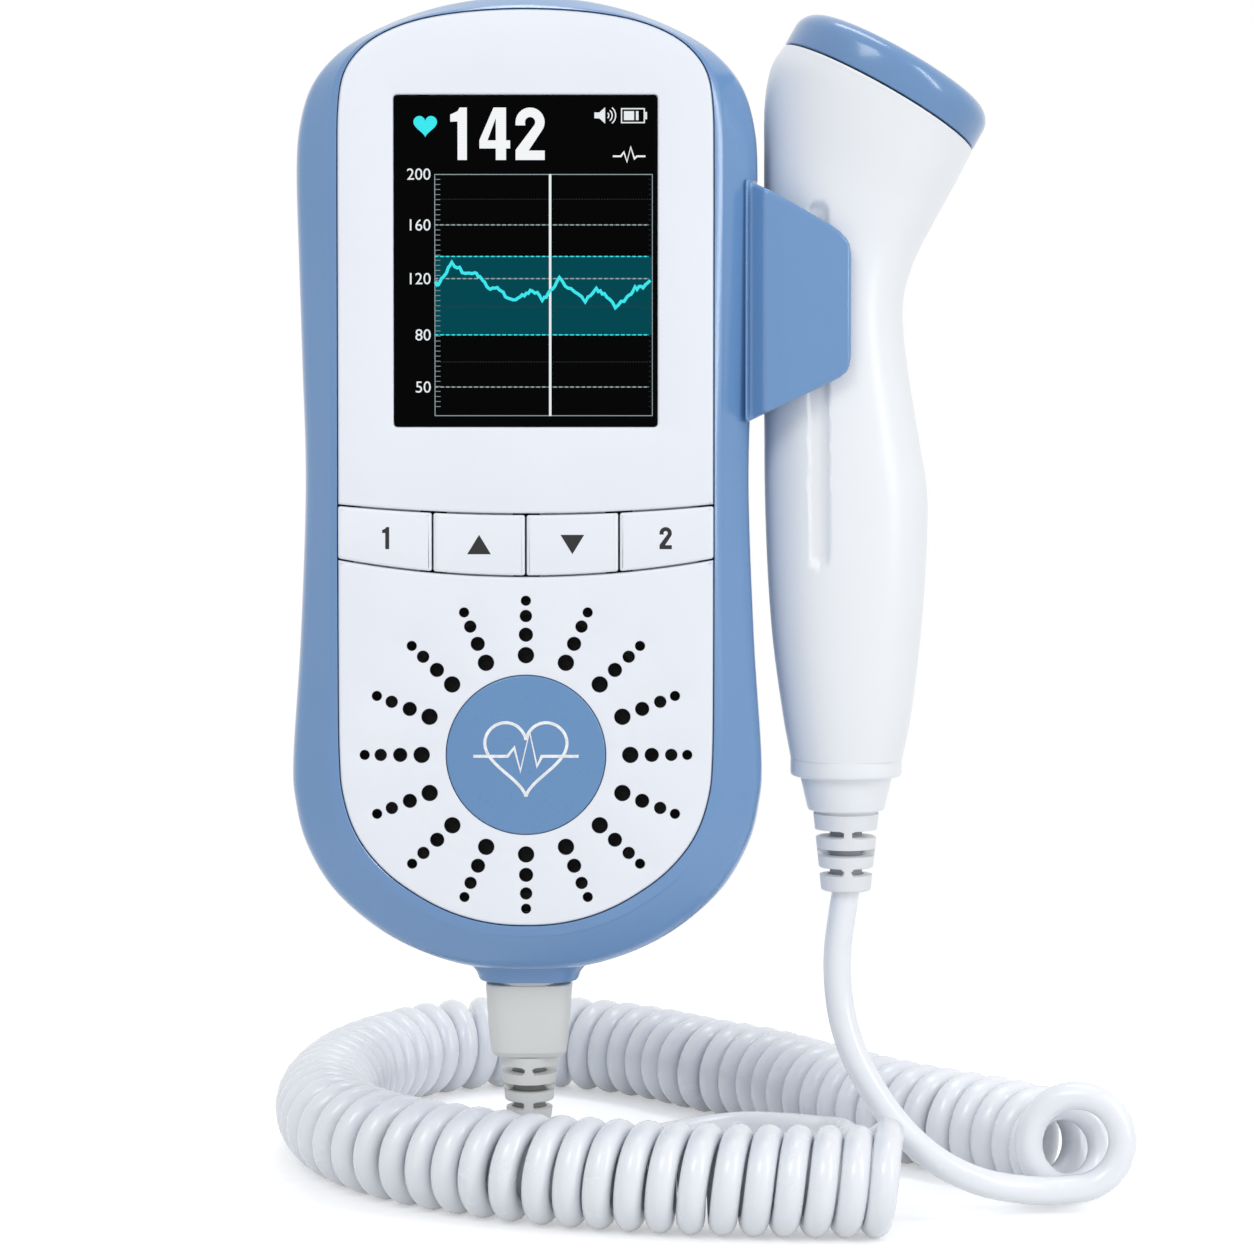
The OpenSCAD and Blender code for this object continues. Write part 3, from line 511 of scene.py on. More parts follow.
def plastic(name, colour, roughness, grain=0.0003, grain_depth=0.000003, wave_depth=0.000012,
            vary=0.02, coat=0.0, soft=0.0):
    """Moulded plastic: fine spark-eroded grain, slow waves of sink, and faint handling marks."""
    material, tree, shader, where = new_material(name)
    tone = spread(tree, noise(tree, where, 0.018, 2), 0, 1)
    tree.links.new(mixed(tree, tone, shaded(colour, 1 - vary), shaded(colour, 1 + vary * 0.6)),
                   shader.inputs["Base Color"])
    marks = spread(tree, noise(tree, where, 0.006, 6, 0.65), roughness * 0.93, roughness * 1.08)
    tree.links.new(marks, shader.inputs["Roughness"])
    bumped(tree, shader, [
        (noise(tree, where, 0.012, 1), 0.5, wave_depth),
        (noise(tree, where, grain, 2), 0.5, grain_depth)])
    shader.inputs["IOR"].default_value = 1.5
    shader.inputs["Coat Weight"].default_value = coat
    shader.inputs["Coat Roughness"].default_value = 0.13
    shader.inputs["Subsurface Weight"].default_value = soft
    shader.inputs["Subsurface Radius"].default_value = (0.0012, 0.0012, 0.0012)
    shader.inputs["Subsurface Scale"].default_value = 1.0
    return material


def foam(name, colour):
    """Soft cellular foam or felt."""
    material, tree, shader, where = new_material(name)
    cells = tree.nodes.new("ShaderNodeTexVoronoi")
    cells.inputs["Scale"].default_value = 1 / 0.0006
    tree.links.new(where, cells.inputs["Vector"])
    # colour darkens towards the middle of each cell, where the bump makes pits: painted shade in the pits
    tree.links.new(mixed(tree, cells.outputs["Distance"], shaded(colour, 0.6), shaded(colour, 1.2)),
                   shader.inputs["Base Color"])
    shader.inputs["Roughness"].default_value = 0.95
    bumped(tree, shader, [(cells.outputs["Distance"], 0.8, 0.0002)])
    return material


def metal(name, colour, roughness, stretch=(1, 1, 30)):
    """Drawn or plated metal with fine lines along one way."""
    material, tree, shader, where = new_material(name)
    mapping = tree.nodes.new("ShaderNodeMapping")
    mapping.inputs["Scale"].default_value = stretch
    tree.links.new(where, mapping.inputs["Vector"])
    lines = noise(tree, mapping.outputs["Vector"], 0.004, 4)
    tree.links.new(mixed(tree, spread(tree, lines, 0, 1), shaded(colour, 0.85), colour),
                   shader.inputs["Base Color"])
    tree.links.new(spread(tree, lines, roughness * 0.8, roughness * 1.3), shader.inputs["Roughness"])
    shader.inputs["Metallic"].default_value = 1
    bumped(tree, shader, [(lines, 0.3, 0.00001)])
    return material


def lit(name, colour):
    """Shape shown by the display: a dark gloss with its own faint light, in the display's fine rows."""
    material, tree, shader, where = new_material(name)
    rows = tree.nodes.new("ShaderNodeTexWave")
    rows.bands_direction = "Z"
    rows.inputs["Scale"].default_value = 1 / 0.0011
    tree.links.new(where, rows.inputs["Vector"])
    glow = mixed(tree, rows.outputs["Fac"], shaded(colour, 0.93), colour)
    tree.links.new(glow, shader.inputs["Emission Color"])
    shader.inputs["Emission Strength"].default_value = 1.0
    shader.inputs["Base Color"].default_value = (0, 0, 0, 1)
    shader.inputs["Roughness"].default_value = 0.4
    shader.inputs["Specular IOR Level"].default_value = 0.02
    return material


def glass_black(name):
    """Display window: black behind a hard glossy surface with a few faint smears."""
    material, tree, shader, where = new_material(name)
    smears = spread(tree, noise(tree, where, 0.009, 5, 0.7), 0.05, 0.12)
    tree.links.new(smears, shader.inputs["Roughness"])
    black = mixed(tree, noise(tree, where, 0.02, 1), (0.0006, 0.0006, 0.0008), (0.001, 0.0011, 0.0013))
    tree.links.new(black, shader.inputs["Base Color"])
    shader.inputs["Specular IOR Level"].default_value = 0.02
    return material


def ink(name, colour):
    """Printed mark with the slight unevenness of pad printing."""
    material, tree, shader, where = new_material(name)
    patches = spread(tree, noise(tree, where, 0.0008, 4), 0, 1)
    tree.links.new(mixed(tree, patches, shaded(colour, 0.85), shaded(colour, 1.1)),
                   shader.inputs["Base Color"])
    tree.links.new(spread(tree, patches, 0.4, 0.6), shader.inputs["Roughness"])
    bumped(tree, shader, [(patches, 0.3, 0.000005)])
    return material


def circuit_board(name):
    """Green lacquered board with tracks, pads and plated holes."""
    material, tree, shader, where = new_material(name)
    tracks = tree.nodes.new("ShaderNodeTexBrick")
    tracks.inputs["Scale"].default_value = 1 / 0.004
    tracks.inputs["Mortar Size"].default_value = 0.03
    tracks.inputs["Color1"].default_value = (0.010, 0.075, 0.030, 1)
    tracks.inputs["Color2"].default_value = (0.012, 0.090, 0.036, 1)
    tracks.inputs["Mortar"].default_value = (0.025, 0.150, 0.060, 1)
    turn = tree.nodes.new("ShaderNodeMapping")
    turn.inputs["Rotation"].default_value = (math.radians(90), 0, 0)
    tree.links.new(where, turn.inputs["Vector"])
    tree.links.new(turn.outputs["Vector"], tracks.inputs["Vector"])
    pads = tree.nodes.new("ShaderNodeTexVoronoi")
    pads.inputs["Scale"].default_value = 1 / 0.005
    tree.links.new(where, pads.inputs["Vector"])
    dot = tree.nodes.new("ShaderNodeMath")
    dot.operation = "LESS_THAN"
    dot.inputs[1].default_value = 0.12
    tree.links.new(pads.outputs["Distance"], dot.inputs[0])
    tree.links.new(mixed(tree, dot.outputs["Value"], tracks.outputs["Color"], (0.55, 0.42, 0.16)),
                   shader.inputs["Base Color"])
    tree.links.new(spread(tree, noise(tree, where, 0.002), 0.3, 0.45), shader.inputs["Roughness"])
    bumped(tree, shader, [(tracks.outputs["Fac"], 0.4, 0.00004)])
    return material


def battery_wrap(name):
    """Printed sleeve of a cell: a dark body with a copper-coloured top."""
    material, tree, shader, where = new_material(name)
    split = tree.nodes.new("ShaderNodeSeparateXYZ")
    tree.links.new(where, split.inputs[0])
    step = tree.nodes.new("ShaderNodeMath")
    step.operation = "GREATER_THAN"
    step.inputs[1].default_value = 0.047
    tree.links.new(split.outputs["Z"], step.inputs[0])
    body = mixed(tree, noise(tree, where, 0.004), (0.012, 0.013, 0.016), (0.020, 0.021, 0.026))
    top = mixed(tree, noise(tree, where, 0.003), (0.52, 0.25, 0.10), (0.62, 0.31, 0.13))
    tree.links.new(mixed(tree, step.outputs["Value"], body, top), shader.inputs["Base Color"])
    shader.inputs["Metallic"].default_value = 0.6
    tree.links.new(spread(tree, noise(tree, where, 0.005, 4), 0.25, 0.4), shader.inputs["Roughness"])
    return material


# ---- drawings ----

FACE_Y = node_box("display_fascia")[0].y
PLATE_Y = node_box("display_fascia")[1].y
SEAM_Y = node_box("front_frame")[1].y
LEDGE_Y = PLATE_Y + 1.6
FLOOR_Z = -122

# right half of the casing's outline and of the white face's outline, from top to bottom, in step
CASING_HALF = [
    (0, 80.5), (9.7, 79.7), (18.2, 77.6), (26.2, 74.2), (31.6, 70.6), (35.5, 65.8),
    (37.5, 59.5), (38.1, 51.6), (37.7, 36), (37.2, 20), (36.7, 0), (37.6, -25),
    (38.9, -45), (38.5, -52.4), (36.7, -59.4), (32.4, -66.8), (25.6, -73), (18, -77.2),
    (9.4, -79.8), (0, -80.5)]
FACE_HALF = [
    (0, 77.6), (9, 77.2), (16.8, 76), (22.6, 74), (26.8, 71.2), (29.6, 67.2),
    (30.6, 61.5), (30.75, 52), (30.75, 36), (30.75, 20), (30.75, 0), (30.75, -25),
    (30.6, -44), (29.8, -51.5), (27.4, -57.8), (23, -63.2), (17.2, -67.4), (11.6, -70.1),
    (5.8, -71.6), (0, -72)]
CASING = mirrored_curve(CASING_HALF, 8)
FACE = mirrored_curve(FACE_HALF, 8)
FACE_GAP = 0.15

# radius and height in the middle of the arcs above and below the keys
KEY_TOP_ARC = (316, -4.6)
KEY_BOTTOM_ARC = (170, -14.7)
KEY_GAP = 0.3
KEY_WIDTH = 15.2
KEY_PROUD = 0.3
BADGE = (0, -43.9)
BADGE_R = 13
SOUND_HOLES = [(16.3, 1.33), (19.65, 1.15), (22.7, 1), (25.2, 0.82)]
RAYS = 16
RAY_STRETCH = 1.045

WINDOW_Z = 36.6
WINDOW = (43, 54)
BAY_Z = 37
TAB_PLACES = (-10, 10)
CASE_SCREWS = [(-27.8, 58), (27.8, 58), (-28, -27), (28, -27)]
PORT_Z = -83
PROBE_Y = -18
PROBE_X = 53.4


def sag(arc_of, shift):
    """Height at x of an arc that is lowest on the middle line, moved up by shift."""
    radius, z = arc_of[0], arc_of[1] + shift
    return lambda x: z + radius - math.sqrt(radius ** 2 - x ** 2)


def casing_ring(depth, share, drawn_in):
    """Ring between the casing's outline, at share 0, and the white face's, at share 1."""
    outline = [(a * (1 - share) + c * share, b * (1 - share) + d * share)
               for (a, b), (c, d) in zip(CASING, FACE)]
    return [(x, depth, z) for x, z in (inset(outline, drawn_in) if drawn_in else outline)]


def upright(x, y):
    return Matrix.Translation((x, y, 0))


def along_y(x, z):
    """Axis that runs towards the back."""
    return Matrix.Translation((x, 0, z)) @ Matrix.Rotation(math.radians(-90), 4, "X")


def cut(item, tool):
    return carve(item, "DIFFERENCE", tool.object("tool"))


def rod_tool(places, start, end, radius, sides=32):
    """Cylinders along Y as one cutting tool."""
    tool = Shape()
    for x, z in places:
        tool.turned([(radius, start), (radius, end)], along_y(x, z), sides)
    return tool


def box_tool(*boxes):
    tool = Shape()
    for low, high in boxes:
        tool.box(low, high)
    return tool


# ---- stage ----

def lamp(name, place, size, power):
    """Rectangular lamp that points at the origin."""
    light = bpy.data.lights.new(name, "AREA")
    light.shape = "RECTANGLE"
    light.size, light.size_y = size
    light.energy = power
    item = bpy.data.objects.new(name, light)
    item.location = place
    item.rotation_euler = (-Vector(place)).to_track_quat("-Z", "Y").to_euler()
    bpy.context.scene.collection.objects.link(item)


def seen_directly(tree):
    """1 for rays from the camera, and for what metal and glass show."""
    path = tree.nodes.new("ShaderNodeLightPath")
    total = path.outputs["Is Camera Ray"]
    for other in ("Is Glossy Ray", "Is Transmission Ray"):
        add = tree.nodes.new("ShaderNodeMath")
        add.operation = "MAXIMUM"
        tree.links.new(total, add.inputs[0])
        tree.links.new(path.outputs[other], add.inputs[1])
        total = add.outputs["Value"]
    return total


class MONITOR_OT_stage(bpy.types.Operator):
    """Set up the camera, the lamps, the world and the pale floor"""
    bl_idname = "monitor.stage"
    bl_label = "Stage"

    CAMERA_AT = (0.0165, -0.539, 0.0055)
    CAMERA_DOWN = 1.46
    CAMERA_SHIFT = -0.0763
    WORLD_LIGHT = 0.6
    FLOOR_SIZE = 3.0
    FADE_START, FADE_END = 0.16, 0.36

    def execute(self, context):
        setting = context.scene.monitor.stage
        camera = bpy.data.objects.new("camera", bpy.data.cameras.new("camera"))
        camera.data.lens = setting.lens
        camera.data.shift_y = self.CAMERA_SHIFT
        camera.data.clip_start = 0.01
        camera.location = self.CAMERA_AT
        camera.rotation_euler = (math.radians(90 - self.CAMERA_DOWN), 0, 0)
        context.scene.collection.objects.link(camera)
        context.scene.camera = camera
        context.scene.view_settings.view_transform = "Standard"

        world = bpy.data.worlds.new("studio")
        context.scene.world = world
        world.use_nodes = True
        tree = world.node_tree
        background = tree.nodes["Background"]
        strength = tree.nodes.new("ShaderNodeMapRange")
        strength.inputs["To Min"].default_value = self.WORLD_LIGHT
        strength.inputs["To Max"].default_value = 1.0
        tree.links.new(seen_directly(tree), strength.inputs["Value"])
        tree.links.new(strength.outputs["Result"], background.inputs["Strength"])
        background.inputs["Color"].default_value = (1, 1, 1, 1)

        lamp("key lamp", (-0.28, -0.8, 0.6), (0.4, 0.4), setting.key)
        lamp("side lamp", (0.72, -0.5, 0.3), (0.1, 0.7), setting.fill * 1.2)
        lamp("top lamp", (0.1, 0.1, 0.9), (0.6, 0.18), setting.fill)

        floor = Shape()
        side = self.FLOOR_SIZE / MM / 2
        floor.mesh.faces.new(floor.ring([(-side, -side, FLOOR_Z), (side, -side, FLOOR_Z),
                                         (side, side, FLOOR_Z), (-side, side, FLOOR_Z)]))
        item = floor.object("floor")
        item.data.materials.append(self.floor_material())
        return {"FINISHED"}

    def floor_material(self):
        """Pale matte floor that brightens to white away from the object."""
        material, tree, shader, where = new_material("floor")
        shader.inputs["Base Color"].default_value = (0.8, 0.81, 0.82, 1)
        shader.inputs["Roughness"].default_value = 0.8
        distance = tree.nodes.new("ShaderNodeVectorMath")
        distance.operation = "LENGTH"
        tree.links.new(where, distance.inputs[0])
        fade = tree.nodes.new("ShaderNodeMapRange")
        fade.interpolation_type = "SMOOTHSTEP"
        fade.inputs["From Min"].default_value = self.FADE_START
        fade.inputs["From Max"].default_value = self.FADE_END
        tree.links.new(distance.outputs["Value"], fade.inputs["Value"])
        glow = tree.nodes.new("ShaderNodeEmission")
        lift = tree.nodes.new("ShaderNodeEmission")
        lift.inputs["Strength"].default_value = 0.4
        add = tree.nodes.new("ShaderNodeAddShader")
        mix = tree.nodes.new("ShaderNodeMixShader")
        tree.links.new(shader.outputs[0], add.inputs[0])
        tree.links.new(lift.outputs[0], add.inputs[1])
        tree.links.new(fade.outputs["Result"], mix.inputs[0])
        tree.links.new(add.outputs[0], mix.inputs[1])
        tree.links.new(glow.outputs[0], mix.inputs[2])
        last = tree.nodes.new("ShaderNodeMixShader")
        tree.links.new(seen_directly(tree), last.inputs[0])
        tree.links.new(shader.outputs[0], last.inputs[1])
        tree.links.new(mix.outputs[0], last.inputs[2])
        tree.links.new(last.outputs[0], tree.nodes["Material Output"].inputs["Surface"])
        return material


# ---- cord and plug ----

PROBE_LEAD = [
    (52, -18, -79), (52.5, -18.4, -88), (54.4, -19.6, -95), (57.7, -21.4, -101.4), (61.5, -23.4, -106.6),
    (65.6, -24.8, -110.6), (70.2, -25.6, -113.7), (75.8, -25.4, -116.1), (81.4, -23.9, -117.5)]
COIL_ROUTE = [
    (91.4, -22.6), (91.6, -15), (88.2, -6.8), (81.2, 1.4), (73.2, 8.6), (64.2, 18),
    (54, 31.5), (43.5, 47), (32.8, 57.5), (20.6, 71), (6, 80.5), (-9, 82), (-23, 74), (-33.5, 57),
    (-38, 38), (-38, 19), (-33, 1), (-22, -14), (-4.5, -26), (11, -32), (28, -36), (44, -37.6), (59, -38)]
PLUG_LEAD = [
    (1, -15, -112.6), (3, -10, -117.2), (5.6, -3, -119.2), (10.6, 8, -119.4), (17.5, 17.5, -119.3),
    (27, 24.5, -118.6), (37.5, 26, -117.6), (46, 21, -116.8), (51.5, 13, -115.6), (54, 4, -114),
    (54.8, -5, -112.8), (55, -14, -112), (55.8, -22, -110.8), (57.6, -28.4, -108.5)]
FIRST_CURL_R = 8.3
FIRST_CURL_LIFT = 1.8
FIRST_CURL_TURNS = 1.4
PROBE_BOOT_Z = -68.2
PLUG_BOOT_Z = -107


class Curls:
    """The curly stretch: curls round a centre line that winds over the floor."""

    STEPS = 8

    def __init__(self, radius, pitch, diameter):
        self.radius, self.diameter = radius, diameter
        self.middle = [Vector(p) for p in smooth_path(COIL_ROUTE, self.STEPS)]
        last = len(self.middle) - 1
        self.way = [(self.middle[min(i + 1, last)] - self.middle[max(i - 1, 0)]).normalized()
                    for i in range(last + 1)]
        self.turns = [0.0]
        for i in range(last):
            run = (self.middle[i + 1] - self.middle[i]).length
            bend = (self.way[i + 1] - self.way[i]).length
            widest = FIRST_CURL_R if i < self.STEPS else radius
            self.turns.append(self.turns[-1] + (run - widest * bend) / pitch)
        self.count = math.floor(self.turns[-1]) + 0.5
        self.turns = [t * self.count / self.turns[-1] for t in self.turns]

    def point(self, turn):
        """The cord's centre after a number of turns."""
        turn = min(turn, self.count - 0.0001)
        i = sum(1 for t in self.turns if t <= turn) - 1
        share = (turn - self.turns[i]) / (self.turns[i + 1] - self.turns[i])
        centre = self.middle[i].lerp(self.middle[i + 1], share)
        way = self.way[i].lerp(self.way[i + 1], share).normalized()
        settled = min(1, turn / FIRST_CURL_TURNS)
        first = 1 - settled * settled * (3 - 2 * settled)
        r = self.radius + (FIRST_CURL_R - self.radius) * first
        angle = math.radians(360 * turn - 90)
        return Vector((centre.x + r * math.cos(angle) * way.y, centre.y - r * math.cos(angle) * way.x,
                       FLOOR_Z + self.diameter / 2 + FIRST_CURL_LIFT * first + r + r * math.sin(angle)))

    def path(self, rings):
        points = [self.point(i / rings) for i in range(int(self.count * rings) + 1)]
        first = points[0] - self.diameter * (self.point(0.02) - points[0]).normalized()
        last = points[-1] + self.diameter * (points[-1] - self.point(self.count - 0.021)).normalized()
        return [first, *points, last]


def tube_rings(path, radius, sides):
    """Rings square to a path, which don't twist along it."""
    ways = [(path[min(i + 1, len(path) - 1)] - path[max(i - 1, 0)]).normalized() for i in range(len(path))]
    side = ways[0].orthogonal().normalized()
    rings = []
    for here, way in zip(path, ways):
        side = (side - side.dot(way) * way).normalized()
        up = way.cross(side)
        rings.append([here + radius * (math.cos(2 * math.pi * k / sides) * side
                                       + math.sin(2 * math.pi * k / sides) * up) for k in range(sides)])
    return rings


def lead_path(start, route, end, after, steps=8):
    """Smooth lead from a strain relief to the curls, which runs into them without a kink."""
    points = smooth_path([start, *route, tuple(end), tuple(after)], steps)
    return [Vector(p) for p in points[:-steps - 1]]


class MONITOR_OT_cord(bpy.types.Operator):
    """Make the curly cord from the probe to the plug"""
    bl_idname = "monitor.cord"
    bl_label = "Cord"

    SIDES = 18

    def execute(self, context):
        setting = context.scene.monitor.cord
        diameter = setting.diameter / MM
        curls = Curls(setting.curl / MM, setting.pitch / MM, diameter).path(setting.rings)
        exit_at = (PROBE_X, PROBE_Y, PROBE_BOOT_Z)
        path = lead_path(exit_at, PROBE_LEAD, curls[0], curls[1])
        path += curls
        path += lead_path((0, SEAM_Y, PLUG_BOOT_Z), PLUG_LEAD, curls[-1], curls[-2])[::-1]
        shape = Shape()
        shape.loft(tube_rings(path, diameter / 2, self.SIDES))
        jacket = plastic("cord jacket", setting.white, 0.26, grain=0.002, grain_depth=0.000006,
                         vary=0.01, coat=0.25, soft=0.4)
        item = dress(shape.object("curly_cord", crease=80), None, [jacket],
                     ["cord_probe_lead", "cord_coil", "cord_plug_lead"])
        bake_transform(item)
        return {"FINISHED"}


def strain_relief(x, y, top, bottom, wide, narrow, rows):
    """Tapered sleeve with rows of round-ended slot openings, whose deep inside faces take the second
    material, a painted shade.
    rows are (height, quarter turns)."""
    columns, step, core = 96, 0.14, 2.7
    slot_half, web_half, soft = 0.55, 0.88, 0.16
    edge = 0.3
    count = round((top - bottom) / step)
    rings = []
    for k in range(count + 1):
        z = top + (bottom - top) * k / count
        outer = wide + (narrow - wide) * k / count
        outer -= edge * (1 - math.sqrt(1 - max(0, 1 - (z - bottom) / edge) ** 2))
        ring = []
        for j in range(columns):
            angle = 2 * math.pi * j / columns
            depth = 0
            for height, quarter in rows:
                from_middle = (angle - quarter * math.pi / 2) % math.pi - math.pi / 2
                along = max(0, abs(from_middle) * outer - (math.pi / 2 * outer - web_half - slot_half))
                away = math.hypot(along, z - height) - slot_half
                depth = max(depth, min(1, max(0, 0.5 - away / soft)))
            r = outer - (outer - core) * depth
            ring.append((x + r * math.cos(angle), y + r * math.sin(angle), z))
        rings.append(ring)
    shape = Shape()
    shape.loft(rings)
    # faces deep in the slot openings take the second material: painted shade
    for face in shape.mesh.faces:
        middle = face.calc_center_median()
        if len(face.verts) == 4 and math.hypot(middle.x - x, middle.y - y) < core + 0.5:
            face.material_index = 1
    return shape


def squarish(x, y, z, half_width, half_depth, power=4, sides=96):
    """Ring between an ellipse and a rectangle."""
    ring = []
    for k in range(sides):
        c, s = math.cos(2 * math.pi * k / sides), math.sin(2 * math.pi * k / sides)
        ring.append((x + half_width * math.copysign(abs(c) ** (2 / power), c),
                     y + half_depth * math.copysign(abs(s) ** (2 / power), s), z))
    return ring


class MONITOR_OT_plug(bpy.types.Operator):
    """Make the plug and the collar of its socket"""
    bl_idname = "monitor.plug"
    bl_label = "Plug and socket collar"

    HOUSING_TOP, HOUSING_BOTTOM = -83.6, -96.1
    RELIEF_ROWS = [(-98.4, 1), (-101.4, 0), (-104.4, 1)]
    # [height, half width, half depth]
    HOUSING = [(-83.6, 6.9, 6.0), (-83.75, 7.2, 6.3), (-84.4, 7.3, 6.4), (-85.0, 7.22, 6.32),
               (-90, 6.9, 6.0), (-94.6, 6.45, 5.6), (-95.3, 6.25, 5.4), (-95.8, 5.9, 5.1),
               (-96.1, 5.3, 4.6)]
    COLLAR = [(-83, 7.2, 6.6), (-83, 7.9, 7.2), (-82.85, 8.3, 7.4), (-82.5, 8.5, 7.5),
              (-81.5, 8.85, 7.7), (-80.7, 9.5, 8), (-80, 10.2, 8.3), (-79, 10.3, 8.3)]

    def execute(self, context):
        settings = context.scene.monitor
        grey = plastic("plug grey", settings.cord.plug, 0.42, grain=0.0005, grain_depth=0.000008, vary=0.015)
        housing = Shape()
        rings = smooth_path(self.HOUSING, 4)
        housing.loft([squarish(0, SEAM_Y, *ring) for ring in rings])
        dress(housing.object("plug_housing_cover", crease=60), "root", [grey], ["plug_housing"])
        sleeve = strain_relief(0, SEAM_Y, self.HOUSING_BOTTOM, PLUG_BOOT_Z, 5, 3.7, self.RELIEF_ROWS)
        # the plug grey made much darker for deep in the slot openings: painted shade
        slot_shade = plastic("plug slot painted shade", shaded(settings.cord.plug, 0.35), 0.6)
        dress(sleeve.object("plug_strain_relief", crease=60), "root", [grey, slot_shade],
              ["plug_boot"])

        blue = plastic("collar blue", settings.casing.blue, 0.24, coat=0.5)
        collar = Shape()
        bore = [squarish(0, SEAM_Y, z, r, r, 2) for z, r in (
            (PORT_Z + 7, 8.3), (PORT_Z + 7, 6.4), (PORT_Z + 0.3, 6.4), (PORT_Z + 0.08, 6.5),
            (PORT_Z, 6.7))]
        collar.skin(bore + [squarish(0, SEAM_Y, *ring) for ring in self.COLLAR]
                    + [squarish(0, SEAM_Y, self.COLLAR[-1][0], 8.3, 8.3, 2)], round_end=True)
        dress(collar.object("port_collar"), "root", [blue], ["socket_collar"])
        return {"FINISHED"}


# ---- casings ----

class MONITOR_OT_casings(bpy.types.Operator):
    """Make the front and back casings with their openings"""
    bl_idname = "monitor.casings"
    bl_label = "Casings"

    FRONT_BLEND = [(-33.3, 0.785), (-32.2, 0.6), (-30.9, 0.39), (-29.7, 0.205), (-28.7, 0.1),
                   (-27.3, 0.03), (-25.4, 0.003), (-23.5, 0)]
    CREASE = [(-33.95, 0.97), (-33.5, 0.815), (-33.4, 0.797)]
    BACK_ROUND = 7
    HOLDER_POCKET = ((36.3, -29.3, 10.9), (50, -6.7, 50.1))
    KEY_OPENING = ((-33, PLATE_Y - 0.01, -17), (33, LEDGE_Y + 0.1, -1.6))
    # half width and half height of the battery bay, outside and inside, and size of the cover's recess
    BAY_OUTSIDE, BAY_INSIDE, COVER_RECESS = (17.1, 28.6), (15.5, 27), (37.7, 62.7)
    BOSS_R, HEAD_R, SHANK_R = 3.8, 2.6, 1.6

    def execute(self, context):
        setting = context.scene.monitor.casing
        wall, seam = setting.wall / MM, setting.seam / MM
        blue = plastic("casing blue", setting.blue, 0.24, coat=0.5)
        dress(self.front(wall, seam), "root", [blue], ["front_frame"])
        dress(self.back(wall, seam), "root", [blue], ["rear_shell"])
        return {"FINISHED"}

    def front(self, wall, seam):
        rings = [(PLATE_Y, 1, 0), (FACE_Y + 0.1, 1, 0), (FACE_Y, 0.985, 0)]
        rings += [(y, share, 0) for y, share in self.CREASE]
        rings += [(y, share, 0) for y, share in smooth_path(self.FRONT_BLEND, 6)]
        rings += [(SEAM_Y - seam, 0, 0), (SEAM_Y - seam * 0.2, 0, seam * 0.3), (SEAM_Y, 0, seam),
                  (SEAM_Y, 0, wall), (-23.5, 0, wall), (-27, 0.07, wall + 0.1),
                  (LEDGE_Y, 0.25, wall + 0.2), (LEDGE_Y, 1, 2.2), (PLATE_Y, 1, 2.2)]
        shape = Shape()
        shape.skin([casing_ring(*ring) for ring in rings], round_end=True)
        item = shape.object("front_casing")
        cut(item, rod_up_tool())
        cut(item, box_tool(self.HOLDER_POCKET))
        return cut(item, box_tool(self.KEY_OPENING))

    def back(self, wall, seam):
        bend = self.BACK_ROUND
        inner = bend - wall
        floor = -wall - 0.2

        def quarter(radius, back, extra, steps):
            return [(back - radius + radius * math.sin(math.pi / 2 * k / steps), 0,
                     extra + radius * (1 - math.cos(math.pi / 2 * k / steps))) for k in range(steps + 1)]

        rings = quarter(inner, floor, wall, 6)[::-1]
        rings += [(SEAM_Y, 0, wall), (SEAM_Y, 0, seam), (SEAM_Y + seam * 0.2, 0, seam * 0.3),
                  (SEAM_Y + seam, 0, 0)]
        rings += quarter(bend, 0, 0, 14)
        shape = Shape()
        shape.loft([casing_ring(*ring) for ring in rings])
        item = shape.object("back_casing")
        bay = self.bay_tool(*self.BAY_OUTSIDE, -19.2, -wall + 0.2)
        carve(item, "UNION", bay.object("bay"))
        bosses = rod_tool(CASE_SCREWS, SEAM_Y, -wall + 0.3, self.BOSS_R)
        carve(item, "UNION", bosses.object("bosses"))
        recess = Shape()
        recess.loft([[(x, y, z) for x, z in rectangle(0, BAY_Z, *self.COVER_RECESS, 2)] for y in (-1.9, 1)])
        cut(item, recess)
        cut(item, self.bay_tool(*self.BAY_INSIDE, -17.6, 0.5))
        cut(item, box_tool(*[((x - 3.5, -5.6, 2.4), (x + 3.5, -2.2, 10.6)) for x in TAB_PLACES]))
        cut(item, box_tool(*[((x - 3.5, -3.2, 5.65), (x + 3.5, 1, 10.6)) for x in TAB_PLACES]))
        cut(item, rod_tool(CASE_SCREWS, -5.15, 1, self.HEAD_R))
        cut(item, rod_tool(CASE_SCREWS, SEAM_Y - 1, -4, self.SHANK_R))
        cut(item, rod_up_tool())
        return cut(item, box_tool(self.HOLDER_POCKET))

    def bay_tool(self, half_width, half_height, front, back):
        """Block round the middle of the battery bay."""
        return box_tool(((-half_width, front, BAY_Z - half_height), (half_width, back, BAY_Z + half_height)))


def rod_up_tool():
    """Cylinder through the bottom of the casings, for the socket."""
    tool = Shape()
    tool.turned([(8.4, PORT_Z - 6), (8.4, PORT_Z + 24)], upright(0, SEAM_Y), 48)
    return tool


